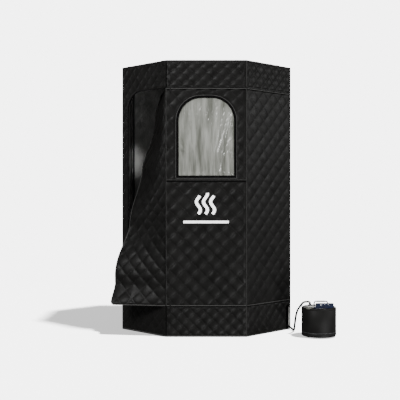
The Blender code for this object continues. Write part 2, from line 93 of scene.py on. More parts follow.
# Doorway and the flap that closes it. FLAP_ANGLES are in degrees, from the lowest section up. The foot
# and head turn so many degrees further, from a height on. FLAP_WAVE is a wave's depth and length.
STRIP = 0.060
OPENING_R = 0.125
OPENING_LOW_R = 0.035
DOORWAY_SETBACK = 0.0026
ZIP_GAP = 0.0085
FLAP_START = 0.0065
FLAP_WIDTH = 0.375
FLAP_R = 0.115
FLAP_LOW_R = 0.025
FLAP_CENTRES = [sum(p.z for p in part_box(f"flap_section_{i}")) / 2 for i in (1, 2, 3, 4)]
FLAP_ANGLES = (69.0, 45.0, 29.0, 14.0)
FLAP_FOOT_TURN = (12.0, 0.34)
FLAP_HEAD_TURN = (-5.0, 1.47)
FLAP_WAVE = (0.0045, 0.47)

# Window: its opening in the door panel, in x and z
WINDOW = (-0.184, 1.047, 0.182, 1.557)
WINDOW_R = 0.150
WINDOW_BINDING = 0.016
FILM_LAP = 0.012
FOLD = (0.088, 1.080, 0.147, 1.365)
FILM_DEPTH = 0.0053
FILM = 0.001

# Steam mark on the lower door panel, in x and z
MARK_WAVES = (-0.052, -0.006, 0.040)
MARK_LOW = 0.800
MARK_HIGH = 0.936
MARK_BAR = (-0.150, 0.145, 0.748)

# Hose port in the front right skirt, measured back from that face's right corner
PORT_CENTRE = 0.029
PORT_HALF = 0.011
PORT_TOP = 0.165

# Steam generator
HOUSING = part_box("generator_housing")
GENERATOR = Vector(((HOUSING[0].x + HOUSING[1].x) / 2, (HOUSING[0].y + HOUSING[1].y) / 2, 0.0))
BODY_R = (HOUSING[1].x - HOUSING[0].x) / 2
SHELL = 0.0025
ELBOW = (
    (0.6820, -0.5050, 0.2085),
    (0.6820, -0.5050, 0.2130),
    (0.6790, -0.5047, 0.2172),
    (0.6735, -0.5040, 0.2196),
    (0.6640, -0.5030, 0.2200),
    (0.6520, -0.5015, 0.2188),
    (0.6420, -0.4998, 0.2155),
    (0.6345, -0.4978, 0.2100),
    (0.6300, -0.4958, 0.2035),
)

# Camera: level, in front of the cabin, at about half its height
CAMERA_PLACE = (0.0, -5.778, 0.92)
LENS = 72.0
SHIFT = (-0.016, -0.01125)

# Studio: backdrop, room light, floor and lamps
BACKDROP = 5.5
ROOM_LIGHT = 0.16
FLOOR_RADIUS = 4.0
FLOOR_FADE = (1.3, 3.4)
FLOOR_TONE = 0.85
FLOOR_GLOW = 0.82
FLOOR_SUN = 18.5
SUN_PLACE = (0.65, -0.35, 1.8)
INSIDE_BEAM = 26.0
BEAM_PLACE = (0.30, -0.30, 1.45)
BEAM_TARGET = (-0.545, 0.285, 1.18)
# Each lamp's name, place, target, size in metres and power in watts
LIGHTS = (
    ("low_right_light", (3.4, -4.6, -2.2), (0.1, -0.4, 0.9), 1.6, 260.0),
    ("front_light", (-3.4, -5.2, 3.9), (0.0, -0.4, 1.0), 1.8, 380.0),
    ("top_light", (0.6, -2.4, 4.6), (0.1, -0.5, 1.4), 1.6, 40.0),
    ("left_light", (-4.3, 3.2, 2.6), (-0.5, -0.3, 1.0), 1.4, 30.0),
    ("right_light", (5.2, -1.3, 2.4), (0.4, -0.3, 1.0), 1.8, 110.0),
    ("back_light", (1.5, 5.0, 3.5), (0.0, 0.0, 0.9), 2.4, 250.0),
    ("inside_light", (0.15, -0.15, 1.70), (-0.3, 0.1, 0.9), 0.4, 0.8),
)

# Steam hose
HOSE_R = 0.0065
HOSE_ROUTE = (
    (0.6206, -0.4916, 0.1900),
    (0.6140, -0.4887, 0.1804),
    (0.603, -0.482, 0.160),
    (0.595, -0.468, 0.125),
    (0.592, -0.449, 0.090),
    (0.591, -0.425, 0.059),
    (0.592, -0.398, 0.034),
    (0.593, -0.370, 0.015),
    (0.592, -0.342, 0.008),
    (0.586, -0.316, 0.010),
    (0.574, -0.296, 0.018),
    (0.555, -0.281, 0.028),
    (0.530, -0.270, 0.033),
    (0.500, -0.263, 0.030),
    (0.465, -0.259, 0.022),
    (0.425, -0.256, 0.015),
    (0.385, -0.248, 0.013),
    (0.345, -0.231, 0.013),
    (0.310, -0.206, 0.013),
    (0.275, -0.176, 0.013),
    (0.240, -0.146, 0.014),
    (0.205, -0.121, 0.016),
    (0.170, -0.105, 0.019),
    (0.142, -0.100, 0.020),
    (0.1259, -0.100, 0.020),
)


# Materials


def node(tree, kind, inputs=None, **settings):
    """A shader node of that kind; an input given as a socket is linked, and any other is set."""
    made = tree.nodes.new("ShaderNode" + kind)
    for key, value in settings.items():
        setattr(made, key, value)
    for key, value in (inputs or {}).items():
        if isinstance(value, bpy.types.NodeSocket):
            tree.links.new(value, made.inputs[key])
        else:
            made.inputs[key].default_value = value
    return made


def maths(tree, operation, first, second=0.5):
    return node(tree, "Math", {0: first, 1: second}, operation=operation).outputs[0]


def stretched(tree, where, scale):
    return node(tree, "Mapping", {"Vector": where, "Scale": scale}).outputs["Vector"]


def texture(tree, where, kind, size):
    """A height texture: noise, cells, ridges, or threads one way (X, Y, Z or DIAGONAL bands)."""
    inputs = {"Vector": where, "Scale": size}
    if kind == "noise":
        return node(tree, "TexNoise", {**inputs, "Detail": 5.0}).outputs["Fac"]
    if kind == "cells":
        return node(tree, "TexVoronoi", inputs).outputs["Distance"]
    if kind == "ridges":
        made = node(tree, "TexNoise", {**inputs, "Detail": 3.0, "Distortion": 0.6})
        return maths(tree, "PINGPONG", maths(tree, "MULTIPLY", made.outputs["Fac"], 4.0), 0.5)
    return node(tree, "TexWave", inputs, bands_direction=kind).outputs["Fac"]


def weave(strength, depth):
    """Bump layers of threads both ways."""
    return [("X", 420.0, strength, depth), ("Z", 420.0, strength, depth)]


def principled(name):
    made = bpy.data.materials.new(name)
    made.use_nodes = True
    return made, made.node_tree, made.node_tree.nodes["Principled BSDF"]


def surface(name, dark, light, rough, scale, bumps=(), stitched=None, specular=None, sockets=None,
            streaks=EVEN):
    """A Principled material. Noise of that scale, stretched by streaks, moves its colour and roughness.

    bumps are (texture, scale, strength, depth) layers with a stretch at the end where it isn't even, and
    stitched is the quilting thread's colour.
    """
    made, tree, shader = principled(name)
    where = node(tree, "TexCoord").outputs["Object"]
    cloud = texture(tree, stretched(tree, where, streaks), "noise", scale)
    ramp = node(tree, "ValToRGB", {"Fac": cloud})
    ramp.color_ramp.elements[0].position = 0.32
    ramp.color_ramp.elements[1].position = 0.68
    ramp.color_ramp.elements[0].color = (*dark, 1.0)
    ramp.color_ramp.elements[1].color = (*light, 1.0)
    colour = ramp.outputs["Color"]
    limits = {"Value": cloud, "From Min": 0.3, "From Max": 0.7, "To Min": rough[0], "To Max": rough[1]}
    spread = node(tree, "MapRange", limits)
    tree.links.new(spread.outputs["Result"], shader.inputs["Roughness"])
    normal = None
    for kind, size, strength, depth, *stretch in bumps:
        height = texture(tree, stretched(tree, where, stretch[0] if stretch else EVEN), kind, size)
        normal = bump(tree, height, strength, depth, normal)
    if stitched:
        mask = stitches(tree)
        mixed = node(tree, "Mix", data_type="RGBA")
        tree.links.new(mask, mixed.inputs["Factor"])
        tree.links.new(colour, mixed.inputs[6])
        mixed.inputs[7].default_value = (*stitched, 1.0)
        colour = mixed.outputs[2]
        normal = bump(tree, mask, 0.6, 0.0005, normal)
    tree.links.new(colour, shader.inputs["Base Color"])
    if normal:
        tree.links.new(normal, shader.inputs["Normal"])
    if specular is not None:
        shader.inputs["Specular IOR Level"].default_value = specular
    for socket, value in (sockets or {}).items():
        shader.inputs[socket].default_value = value
    return made


def bump(tree, height, strength, depth, normal):
    inputs = {"Height": height, "Strength": strength, "Distance": depth}
    if normal:
        inputs["Normal"] = normal
    return node(tree, "Bump", inputs).outputs["Normal"]


def stitches(tree):
    """1 on the dashes of thread along the quilting lines, which are whole numbers in the Quilt map."""
    place = node(tree, "UVMap", uv_map="Quilt").outputs["UV"]
    split = node(tree, "SeparateXYZ", {"Vector": place})
    ways = (split.outputs["X"], split.outputs["Y"])
    lines = []
    for across, along in (ways, ways[::-1]):
        near = maths(tree, "LESS_THAN", maths(tree, "PINGPONG", across), 0.007)
        dash = maths(tree, "LESS_THAN", maths(tree, "PINGPONG", maths(tree, "MULTIPLY", along, 22.0)), 0.33)
        lines.append(maths(tree, "MULTIPLY", near, dash))
    return maths(tree, "MAXIMUM", *lines)


def make_materials():
    crease = ("noise", 55.0, 0.35, 0.0030, (1.0, 1.0, 0.6))
    fine = ("ridges", 26.0, 0.22, 0.0016)
    grain = ("noise", 900.0, 0.12, 0.0002)
    twist = ("DIAGONAL", 240.0, 0.35, 0.0004)
    film_creases = ("ridges", 20.0, 0.35, 0.0030, (2.0, 2.0, 0.22))
    film_haze = ("noise", 90.0, 0.25, 0.0010, (1.4, 1.4, 0.35))
    return {
        "quilt": surface("quilt_satin", (0.0062, 0.0060, 0.0056), (0.0094, 0.0091, 0.0086), (0.40, 0.54),
                         14.0, [crease, fine, *weave(0.10, 0.0002)], (0.024, 0.0235, 0.023), specular=0.13),
        "lining": surface("silver_lining", (0.16, 0.16, 0.155), (0.30, 0.30, 0.29), (0.28, 0.46), 9.0,
                          [("ridges", 22.0, 0.7, 0.0035), ("noise", 140.0, 0.3, 0.0010)], (0.20, 0.20, 0.20),
                          sockets={"Metallic": 0.25}),
        "mat": surface("floor_mat_weave", (0.008, 0.008, 0.009), (0.016, 0.016, 0.017), (0.75, 0.92), 30.0,
                       [("X", 130.0, 0.4, 0.0008), ("Y", 130.0, 0.4, 0.0008)]),
        "film": surface("window_vinyl", (0.125, 0.130, 0.110), (0.34, 0.345, 0.315), (0.16, 0.34), 38.0,
                        [film_creases, film_haze], sockets={"Coat Weight": 0.15, "Coat Roughness": 0.12},
                        streaks=(1.0, 1.0, 0.13)),
        "piping": surface("piping_cord", (0.052, 0.051, 0.050), (0.075, 0.074, 0.072), (0.45, 0.60), 60.0,
                          [twist, grain], specular=0.2),
        "dim_piping": surface("dim_piping", (0.018, 0.018, 0.017), (0.028, 0.027, 0.026), (0.50, 0.65), 60.0,
                              [twist], specular=0.2),
        "dark_piping": surface("dark_binding", (0.0012, 0.0012, 0.0011), (0.0024, 0.0023, 0.0022),
                               (0.7, 0.85), 60.0, weave(0.2, 0.0003), specular=0.06),
        "tube": surface("tube_coating", (0.010, 0.010, 0.011), (0.017, 0.017, 0.018), (0.34, 0.48), 40.0,
                        [("noise", 260.0, 0.12, 0.0002)]),
        "zip": surface("zip_nylon", (0.0065, 0.0063, 0.0060), (0.0110, 0.0107, 0.0103), (0.34, 0.48), 120.0,
                       [("Z", 420.0, 0.25, 0.0003)], specular=0.15),
        "black_plastic": surface("housing_plastic", (0.0080, 0.0078, 0.0074), (0.0110, 0.0107, 0.0102),
                                 (0.50, 0.62), 18.0, [grain], specular=0.14),
        "base_plastic": surface("base_plastic_skin", (0.008, 0.0078, 0.0076), (0.012, 0.0117, 0.0114),
                                (0.42, 0.56), 25.0, [grain], specular=0.14),
        "rubber": surface("foot_rubber", (0.009, 0.009, 0.009), (0.016, 0.016, 0.016), (0.72, 0.88), 70.0,
                          [grain]),
        "steel": surface("boiler_steel", (0.48, 0.49, 0.50), (0.62, 0.63, 0.64), (0.20, 0.32), 50.0,
                         [("noise", 300.0, 0.15, 0.0002, (1.0, 1.0, 0.05))], sockets={"Metallic": 1.0}),
        "panel": surface("glossy_blue_panel", (0.004, 0.008, 0.030), (0.007, 0.016, 0.060), (0.06, 0.11),
                         22.0, [("noise", 40.0, 0.04, 0.0005)],
                         sockets={"Coat Weight": 0.25, "Coat Roughness": 0.06}),
        # Pale button plastic, painted light: on the power button it stands in for the glow of its lit ring.
        "button": surface("button_plastic", (0.55, 0.57, 0.60), (0.68, 0.70, 0.72), (0.22, 0.32), 200.0,
                          [grain]),
        "silver": surface("cap_silver", (0.115, 0.115, 0.102), (0.165, 0.165, 0.148), (0.42, 0.56), 60.0,
                          [("noise", 500.0, 0.15, 0.0002)], specular=0.25),
        "grey_plastic": surface("fitting_plastic", (0.075, 0.078, 0.082), (0.110, 0.114, 0.120), (0.32, 0.46),
                                60.0, [grain]),
        "pale_plastic": surface("pale_fitting", (0.120, 0.120, 0.112), (0.165, 0.165, 0.155), (0.36, 0.50),
                                60.0, [grain]),
        "handle_metal": surface("handle_metal", (0.022, 0.024, 0.034), (0.036, 0.039, 0.052), (0.46, 0.60),
                                80.0, [("noise", 260.0, 0.15, 0.0002)], specular=0.3),
        "dark_button": surface("dark_button", (0.012, 0.018, 0.040), (0.020, 0.028, 0.058), (0.20, 0.32),
                               200.0, [grain]),
        "board": surface("circuit_board", (0.008, 0.070, 0.030), (0.014, 0.110, 0.050), (0.40, 0.55), 150.0,
                         [("cells", 220.0, 0.5, 0.0006)]),
        "hose": surface("hose_rubber", (0.0040, 0.0040, 0.0042), (0.0065, 0.0065, 0.0068), (0.58, 0.72), 60.0,
                        [("noise", 320.0, 0.20, 0.0003)], specular=0.2),
        "pale_binding": surface("pale_binding", (0.30, 0.30, 0.28), (0.40, 0.40, 0.38), (0.45, 0.60), 70.0,
                                weave(0.3, 0.0003)),
        # White print with a painted glow: its emission makes the mark shine, though it is no lamp.
        "print": surface("printed_white_painted_glow", (0.86, 0.86, 0.86), (0.94, 0.94, 0.94), (0.42, 0.58), 90.0,
                         weave(0.2, 0.0002),
                         sockets={"Emission Color": (1.0, 1.0, 1.0, 1.0), "Emission Strength": 2.0}),
    }


def floor_material():
    """A pale floor that fades into the backdrop with distance from the object."""
    made, tree, shader = principled("studio_floor")
    sockets = {
        "Base Color": (FLOOR_TONE, FLOOR_TONE, FLOOR_TONE, 1.0),
        "Roughness": 0.9,
        "Specular IOR Level": 0.0,
        "Emission Color": (1.0, 1.0, 1.0, 1.0),
        "Emission Strength": FLOOR_GLOW,
    }
    for socket, value in sockets.items():
        shader.inputs[socket].default_value = value
    where = node(tree, "TexCoord").outputs["Object"]
    away = node(tree, "VectorMath", {0: where}, operation="LENGTH").outputs["Value"]
    near, far = FLOOR_FADE
    limits = {"Value": away, "From Min": near, "From Max": far, "To Min": 1.0, "To Max": 0.0}
    fade = node(tree, "MapRange", limits, interpolation_type="SMOOTHSTEP")
    tree.links.new(fade.outputs["Result"], shader.inputs["Alpha"])
    return made


# Mesh helpers


def smooth(t):
    t = np.clip(t, 0.0, 1.0)
    return t * t * (3.0 - 2.0 * t)


def unit(rows):
    return rows / np.linalg.norm(rows, axis=1)[:, None]


def linked(name, data):
    """A new object in the scene, showing the data."""
    made = bpy.data.objects.new(name, data)
    bpy.context.scene.collection.objects.link(made)
    return made


def add_line(data, points, closed=False):
    """A spline of straight runs through the points, in curve data."""
    line = data.splines.new("POLY")
    line.points.add(len(points) - 1)
    for point, place in zip(line.points, points):
        point.co = (*place, 1.0)
    line.use_cyclic_u = closed


def arc(centre, radius, start, end, steps=10):
    turn = np.radians(np.linspace(start, end, steps + 1))
    return [(centre[0] + radius * cos(a), centre[1] + radius * sin(a)) for a in turn]


def resample(path, step=0.010):
    """The same path with points no further than step apart."""
    path = [np.array(p, float) for p in path]
    points = []
    for a, b in zip(path, path[1:]):
        count = max(1, ceil(np.linalg.norm(b - a) / step))
        points += [a + (b - a) * i / count for i in range(count)]
    return np.array([*points, path[-1]])


def spline(knots, count=10):
    """Points on a Catmull-Rom curve through the knots."""
    knots = [np.array(p, float) for p in knots]
    knots = [2 * knots[0] - knots[1], *knots, 2 * knots[-1] - knots[-2]]
    points = []
    for a, b, c, d in zip(knots, knots[1:], knots[2:], knots[3:]):
        for t in np.arange(count) / count:
            cubic = (3 * b - a - 3 * c + d) * t**3
            points.append((2 * b + (c - a) * t + (2 * a - 5 * b + 4 * c - d) * t * t + cubic) / 2)
    return np.array([*points, knots[-2]])


def piece(name, points, faces, slot, body=None, materials=None, face_material=None, quilt_map=None,
          angle=60.0):
    """A mesh piece whose faces look outwards, riding on a body."""
    mesh = bpy.data.meshes.new(name)
    mesh.from_pydata(np.asarray(points).tolist(), [], [list(map(int, f)) for f in faces])
    for used in materials or [slot]:
        mesh.materials.append(MATERIALS[used])
    if face_material is not None:
        mesh.polygons.foreach_set("material_index", np.asarray(face_material, np.int32))
    if quilt_map is not None:
        corners = np.zeros(len(mesh.loops), np.int32)
        mesh.loops.foreach_get("vertex_index", corners)
        mesh.uv_layers.new(name="Quilt").data.foreach_set("uv", quilt_map[corners].astype(np.float32).ravel())
    bm = bmesh.new()
    bm.from_mesh(mesh)
    if bm.calc_volume(signed=True) < 0:
        bmesh.ops.reverse_faces(bm, faces=bm.faces)
    bm.to_mesh(mesh)
    bm.free()
    mesh.shade_smooth()
    mesh.set_sharp_from_angle(angle=radians(angle))
    obj = linked(name, mesh)
    if body:
        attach(obj, body)
    return obj


def lathe(name, profile, centre, slot, body="root", segments=96, closed=False, ribs=None):
    """A turned body. ribs is (count, depth, low, high): grip ribs between two heights."""
    turn = np.linspace(0.0, 2 * pi, segments, endpoint=False)
    points, rings, faces = [], [], []
    for radius, height in profile:
        base = len(points)
        if radius == 0.0:
            points.append((centre.x, centre.y, centre.z + height))
            rings.append([base])
            continue
        r = np.full(segments, radius)
        if ribs and ribs[2] <= height <= ribs[3]:
            r = r + ribs[1] * np.cos(turn * ribs[0])
        points += [(centre.x + q * cos(a), centre.y + q * sin(a), centre.z + height) for q, a in zip(r, turn)]
        rings.append(list(range(base, base + segments)))
    pairs = list(zip(rings, rings[1:])) + ([(rings[-1], rings[0])] if closed else [])
    for first, second in pairs:
        for i in range(segments):
            j = (i + 1) % segments
            if len(first) == 1:
                faces.append((first[0], second[j], second[i]))
            elif len(second) == 1:
                faces.append((first[i], first[j], second[0]))
            else:
                faces.append((first[i], first[j], second[j], second[i]))
    return piece(name, points, faces, slot, body, angle=40.0)


def pipe(name, path, radius, slot, body="root", sides=16, look=None):
    """A round bar along a line of points in space; radius is one number or one for each point."""
    path = np.asarray(path, float)
    radius = np.broadcast_to(radius, len(path))
    ahead = unit(np.gradient(path, axis=0))
    side = np.cross(ahead[0], UP if abs(ahead[0][2]) < 0.9 else np.array([1.0, 0.0, 0.0]))
    points = []
    turn = np.linspace(0.0, 2 * pi, sides, endpoint=False)
    for place, way, r in zip(path, ahead, radius):
        side = side - way * (side @ way)
        side /= np.linalg.norm(side)
        other = np.cross(way, side)
        points += [place + r * (cos(a) * side + sin(a) * other) for a in turn]
    return piece(name, points, ring_faces(len(path), sides), slot, body, materials=[look or slot])


def ring_faces(rows, columns, cyclic=False):
    """Faces of a tube of rows, with a cap on each end if it isn't cyclic."""
    faces = []
    for i in range(rows if cyclic else rows - 1):
        k = (i + 1) % rows
        for j in range(columns):
            n = (j + 1) % columns
            faces.append((i * columns + j, i * columns + n, k * columns + n, k * columns + j))
    if not cyclic:
        faces.append(tuple(range(columns))[::-1])
        faces.append(tuple((rows - 1) * columns + j for j in range(columns)))
    return faces


def binding(name, path, profile, place, body="root", look=None, cyclic=False, slot="piping"):
    """A strip or cord of one cross-section laid along a path on a surface.

    profile is a closed loop of (aside, out) offsets; aside is to the right of the path's way.
    """
    path = np.asarray(path, float)
    profile = np.asarray(profile, float)
    ahead = unit(np.roll(path, -1, 0) - np.roll(path, 1, 0) if cyclic else np.gradient(path, axis=0))
    u = path[:, 0, None] + ahead[:, 1, None] * profile[None, :, 0]
    v = path[:, 1, None] - ahead[:, 0, None] * profile[None, :, 0]
    out = np.broadcast_to(profile[None, :, 1], u.shape)
    points = place(u.ravel(), v.ravel(), out.ravel())
    faces = ring_faces(len(path), len(profile), cyclic)
    return piece(name, points, faces, slot, body, materials=[look or slot])


def cord_profile(radius, out=0.0, sides=12):
    turn = np.linspace(0.0, 2 * pi, sides, endpoint=False)
    return np.stack([radius * np.cos(turn), out + radius * np.sin(turn)], axis=1)


def tape_profile(start, end, thick, low=-0.0004):
    """A flat tape's section with rounded shoulders, between two offsets."""
    round_in = min(thick, (end - start) / 4)
    top = [(start, thick * 0.55), (start + round_in, thick), (end - round_in, thick), (end, thick * 0.55)]
    return [(start, low), *top, (end, low)]


def flat_place(origin, along, out, up=UP):
    """Places (u, v, out) on a plane."""
    return lambda u, v, d: origin + u[:, None] * along + v[:, None] * up + d[:, None] * out


PLAN = flat_place(np.zeros(3), np.array([1.0, 0.0, 0.0]), UP, up=np.array([0.0, 1.0, 0.0]))


def corner(index, inset=0.0):
    """A corner of the cabin's plan, counted anticlockwise from the front left."""
    half = HALF - inset
    side = FRONT - inset * (sqrt(2.0) - 1.0)
    plan = [(-side, -half), (side, -half), (half, -side), (half, side)]
    plan += [(-x, -y) for x, y in plan]
    return np.array([*plan[index % 8], 0.0])


def side_of(index):
    """(length, place) of one side of the cabin, from its corner to the next."""
    start = corner(index)
    along = corner(index + 1) - start
    length = np.linalg.norm(along)
    along = along / length
    return length, flat_place(start, along, np.cross(along, UP))


def ripples(u, v, seed, size, count=7):
    """Soft waves of about that size, between -1 and 1."""
    random = np.random.default_rng(seed)
    total = 0.0
    for _ in range(count):
        way = random.uniform(0.0, pi)
        number = 2 * pi / (size * random.uniform(0.6, 1.7))
        total = total + np.sin(number * (u * cos(way) + v * sin(way)) + random.uniform(0.0, 2 * pi))
    return total / count


def quilting(u, v, period, seed):
    """Height of a quilted face: 0 on the stitch lines and about 1 in the middle of a diamond."""
    a = (u + v) / period
    b = (u - v) / period
    table = np.random.default_rng(seed).uniform(0.78, 1.12, (61, 61))
    full = table[np.floor(a).astype(int) % 61, np.floor(b).astype(int) % 61]
    return full * np.sqrt(np.abs(np.sin(pi * a) * np.sin(pi * b)))


def rounded_box(u, v, box, low_r=0.0, high_r=0.0):
    """Signed distance to an upright box with rounded low and high corners, negative inside."""
    left, low, right, high = box
    r = np.where(v > (low + high) / 2, high_r, low_r)
    a = np.abs(u - (left + right) / 2) - (right - left) / 2 + r
    b = np.abs(v - (low + high) / 2) - (high - low) / 2 + r
    return np.minimum(np.maximum(a, b), 0.0) + np.hypot(np.maximum(a, 0.0), np.maximum(b, 0.0)) - r


def grid_lines(low, high, pitch, phase):
    """Grid lines on whole steps of pitch from phase, with both ends among them."""
    first = ceil((low - phase) / pitch + 0.3)
    last = floor((high - phase) / pitch - 0.3)
    return np.array([low, *[phase + i * pitch for i in range(first, last + 1)], high])


def shell(name, lines, outline, place, outer, inner, slot, body, materials, quilt_map=None, corners=()):
    """A closed sheet over the part of a grid inside an outline; outer and inner are its faces' heights."""
    u, v = np.meshgrid(*lines)
    middle = [(c[:-1, :-1] + c[1:, 1:]) / 2 for c in (u, v)]
    keep = outline(*middle) < 0
    ids = np.arange(u.size).reshape(u.shape)
    quads = np.stack([ids[:-1, :-1], ids[:-1, 1:], ids[1:, 1:], ids[1:, :-1]], axis=-1)[keep]
    used, quads = np.unique(quads, return_inverse=True)
    quads = quads.reshape(-1, 4)
    u, v = u.ravel()[used].copy(), v.ravel()[used].copy()
    edges = np.concatenate([quads[:, [i, (i + 1) % 4]] for i in range(4)])
    code = np.sort(edges, axis=1) @ np.array([len(u), 1])
    _, index, count = np.unique(code, return_index=True, return_counts=True)
    rim = edges[index[count == 1]]
    border = np.unique(rim)
    pitch = np.median(np.diff(lines[0]))
    border = border[np.abs(outline(u[border], v[border])) < pitch]
    tiny = 1e-5
    for _ in range(5):
        x, y = u[border], v[border]
        away = outline(x, y)
        slope_u = (outline(x + tiny, y) - outline(x - tiny, y)) / (2 * tiny)
        slope_v = (outline(x, y + tiny) - outline(x, y - tiny)) / (2 * tiny)
        square = np.maximum(slope_u**2 + slope_v**2, 0.25)
        u[border] = x - away * slope_u / square
        v[border] = y - away * slope_v / square
    for x, y in corners:
        nearest = border[np.argmin(np.hypot(u[border] - x, v[border] - y))]
        u[nearest], v[nearest] = x, y
    points = np.concatenate([place(u, v, outer(u, v)), place(u, v, inner(u, v))])
    back = quads[:, ::-1] + len(u)
    sides = np.stack([rim[:, 1], rim[:, 0], rim[:, 0] + len(u), rim[:, 1] + len(u)], axis=1)
    faces = np.concatenate([quads, back, sides])
    face_material = np.zeros(len(faces), int)
    if len(materials) > 1:
        face_material[len(quads) : 2 * len(quads)] = 1
    doubled = None if quilt_map is None else np.tile(quilt_map(u, v), (2, 1))
    return piece(name, points, faces, slot, body, materials, face_material, doubled, angle=75.0)


def quilted(name, box, place, body, nodes, period=DIAMOND, centre=0.0, steps=16, puff=PUFF, cut=None,
            outline=None, area=None, held="stretched", rests_on=(), corners=(), sag=0.0, back=-1.0, seed=None,
            flat_rim=None):
    """A quilted panel with a silver lining, standing for its CAD nodes. back is the lining's side.

    cut(u, v) is the distance to what is cut out of the panel, and outline replaces the whole shape
    where the panel's edges aren't its grid's. flat_rim is the shape whose rim the puffs flatten
    towards, where that isn't the panel's own.
    """
    seed = sum(map(ord, name)) if seed is None else seed
    left, low, right, high = box
    cloth = outline or (lambda u, v: rounded_box(u, v, box))

    def whole(u, v):
        return cloth(u, v) if cut is None else np.maximum(cloth(u, v), -cut(u, v))

    def kept(u, v):
        return np.maximum(whole(u, v), rounded_box(u, v, box))

    rim = flat_rim or whole

    def fades(u, v):
        """How far the puffs stand up at a point, and the slow drape there."""
        wide = smooth(-whole(u, v) / DRAPE_FADE)
        drape = DRAPE * ripples(u, v, seed, DRAPE_SIZE) * wide - sag * wide
        return smooth(-rim(u, v) / EDGE_FADE), drape

    def outer(u, v):
        edge, drape = fades(u, v)
        return -back * (puff * quilting(u - centre, v, period, seed) * edge + drape * edge - SUNK)

    def inner(u, v):
        edge, drape = fades(u, v)
        crinkle = CRINKLE * ripples(u, v, seed + 1, CRINKLE_SIZE)
        puffs = LINING_PUFF * quilting(u - centre, v, period, seed)
        return back * (FABRIC + edge * (puffs + crinkle - drape))

    def quilt_map(u, v):
        return np.stack([(u - centre + v) / period, (u - centre - v) / period], axis=1)

    pitch = period / steps
    lines = (grid_lines(left, right, pitch, centre), grid_lines(low, high, pitch, 0.0))
    made = shell(name, lines, kept if (cut or outline) else cloth, place, outer, inner, "quilt", body,
                 ["quilt", "lining"], quilt_map, corners)
    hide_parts(*nodes)
    return made


# Camera, lights and floor


def make_camera():
    data = bpy.data.cameras.new("camera")
    data.lens = LENS
    data.sensor_width = 36.0
    data.shift_x, data.shift_y = SHIFT
    camera = linked("camera", data)
    camera.location = CAMERA_PLACE
    camera.rotation_euler = (radians(90.0), 0.0, 0.0)
    bpy.context.scene.camera = camera


def lit(obj, state):
    """A collection for a light's receivers that takes in, or leaves out, the given object."""
    made = bpy.data.collections.new("receivers")
    made.objects.link(obj)
    made.collection_objects[0].light_linking.link_state = state
    return made


def aimed(name, kind, place, target, power):
    data = bpy.data.lights.new(name, kind)
    data.energy = power
    light = linked(name, data)
    light.location = place
    light.rotation_euler = (Vector(target) - Vector(place)).to_track_quat("-Z", "Y").to_euler()
    return light


def make_floor():
    bm = bmesh.new()
    bmesh.ops.create_circle(bm, cap_ends=True, segments=96, radius=FLOOR_RADIUS)
    mesh = bpy.data.meshes.new("studio_floor")
    bm.to_mesh(mesh)
    bm.free()
    mesh.materials.append(floor_material())
    made = linked("studio_floor", mesh)
    made.visible_diffuse = False
    made.visible_glossy = False
    made.visible_shadow = False
    return made


def make_studio():
    """A bright backdrop that the object doesn't mirror, and a floor with a light of its own."""
    world = bpy.data.worlds.new("studio")
    world.use_nodes = True
    tree = world.node_tree
    room = tree.nodes["Background"]
    room.inputs["Color"].default_value = (1.0, 1.0, 1.0, 1.0)
    room.inputs["Strength"].default_value = ROOM_LIGHT
    backdrop = node(tree, "Background", {"Strength": BACKDROP})
    backdrop.inputs["Color"].default_value = (1.0, 1.0, 1.0, 1.0)
    direct = node(tree, "LightPath").outputs["Is Camera Ray"]
    mixed = node(tree, "MixShader", {0: direct, 1: room.outputs[0], 2: backdrop.outputs[0]})
    tree.links.new(mixed.outputs[0], tree.nodes["World Output"].inputs["Surface"])
    bpy.context.scene.world = world
    studio_floor = make_floor()
    sun = aimed("floor_sun", "SUN", SUN_PLACE, (0.0, 0.0, 0.0), FLOOR_SUN)
    sun.data.angle = radians(4.0)
    sun.light_linking.receiver_collection = lit(studio_floor, "INCLUDE")
    off_floor = lit(studio_floor, "EXCLUDE")
    for name, place, target, size, power in LIGHTS:
        light = aimed(name, "AREA", place, target, power)
        light.data.shape = "SQUARE"
        light.data.size = size
        light.light_linking.receiver_collection = off_floor
    beam = aimed("inside_beam", "SPOT", BEAM_PLACE, BEAM_TARGET, INSIDE_BEAM)
    beam.data.spot_size = radians(13.0)
    beam.data.spot_blend = 0.7
    beam.data.shadow_soft_size = 0.05
    beam.light_linking.receiver_collection = off_floor


# Hose


def make_hose():
    data = bpy.data.curves.new("steam_hose_rubber", "CURVE")
    data.dimensions = "3D"
    data.bevel_depth = HOSE_R
    data.bevel_resolution = 6
    data.use_fill_caps = True
    points = spline(HOSE_ROUTE, 6)
    add_line(data, points)
    data.materials.append(MATERIALS["hose"])
    hose = linked("steam_hose_rubber", data)
    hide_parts("steam_hose")
    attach(hose, "root")


# Cabin


def octagon(u, v):
    """Signed distance, in plan, to the cabin's outline."""
    slant = (HALF + FRONT) / sqrt(2.0)
    wide, deep = np.abs(u), np.abs(v)
    return np.maximum.reduce([wide - HALF, deep - HALF, (wide + deep) / sqrt(2.0) - slant])


def opening(u, v):
    """The doorway in the front left panel."""
    return rounded_box(u, v, (STRIP, SKIRT_TOP, 2.0, DOOR_TOP), OPENING_LOW_R, OPENING_R)


def port(u, v):
    centre = side_of(1)[0] - PORT_CENTRE
    return rounded_box(u, v, (centre - PORT_HALF, -0.1, centre + PORT_HALF, PORT_TOP), 0.0, PORT_HALF)


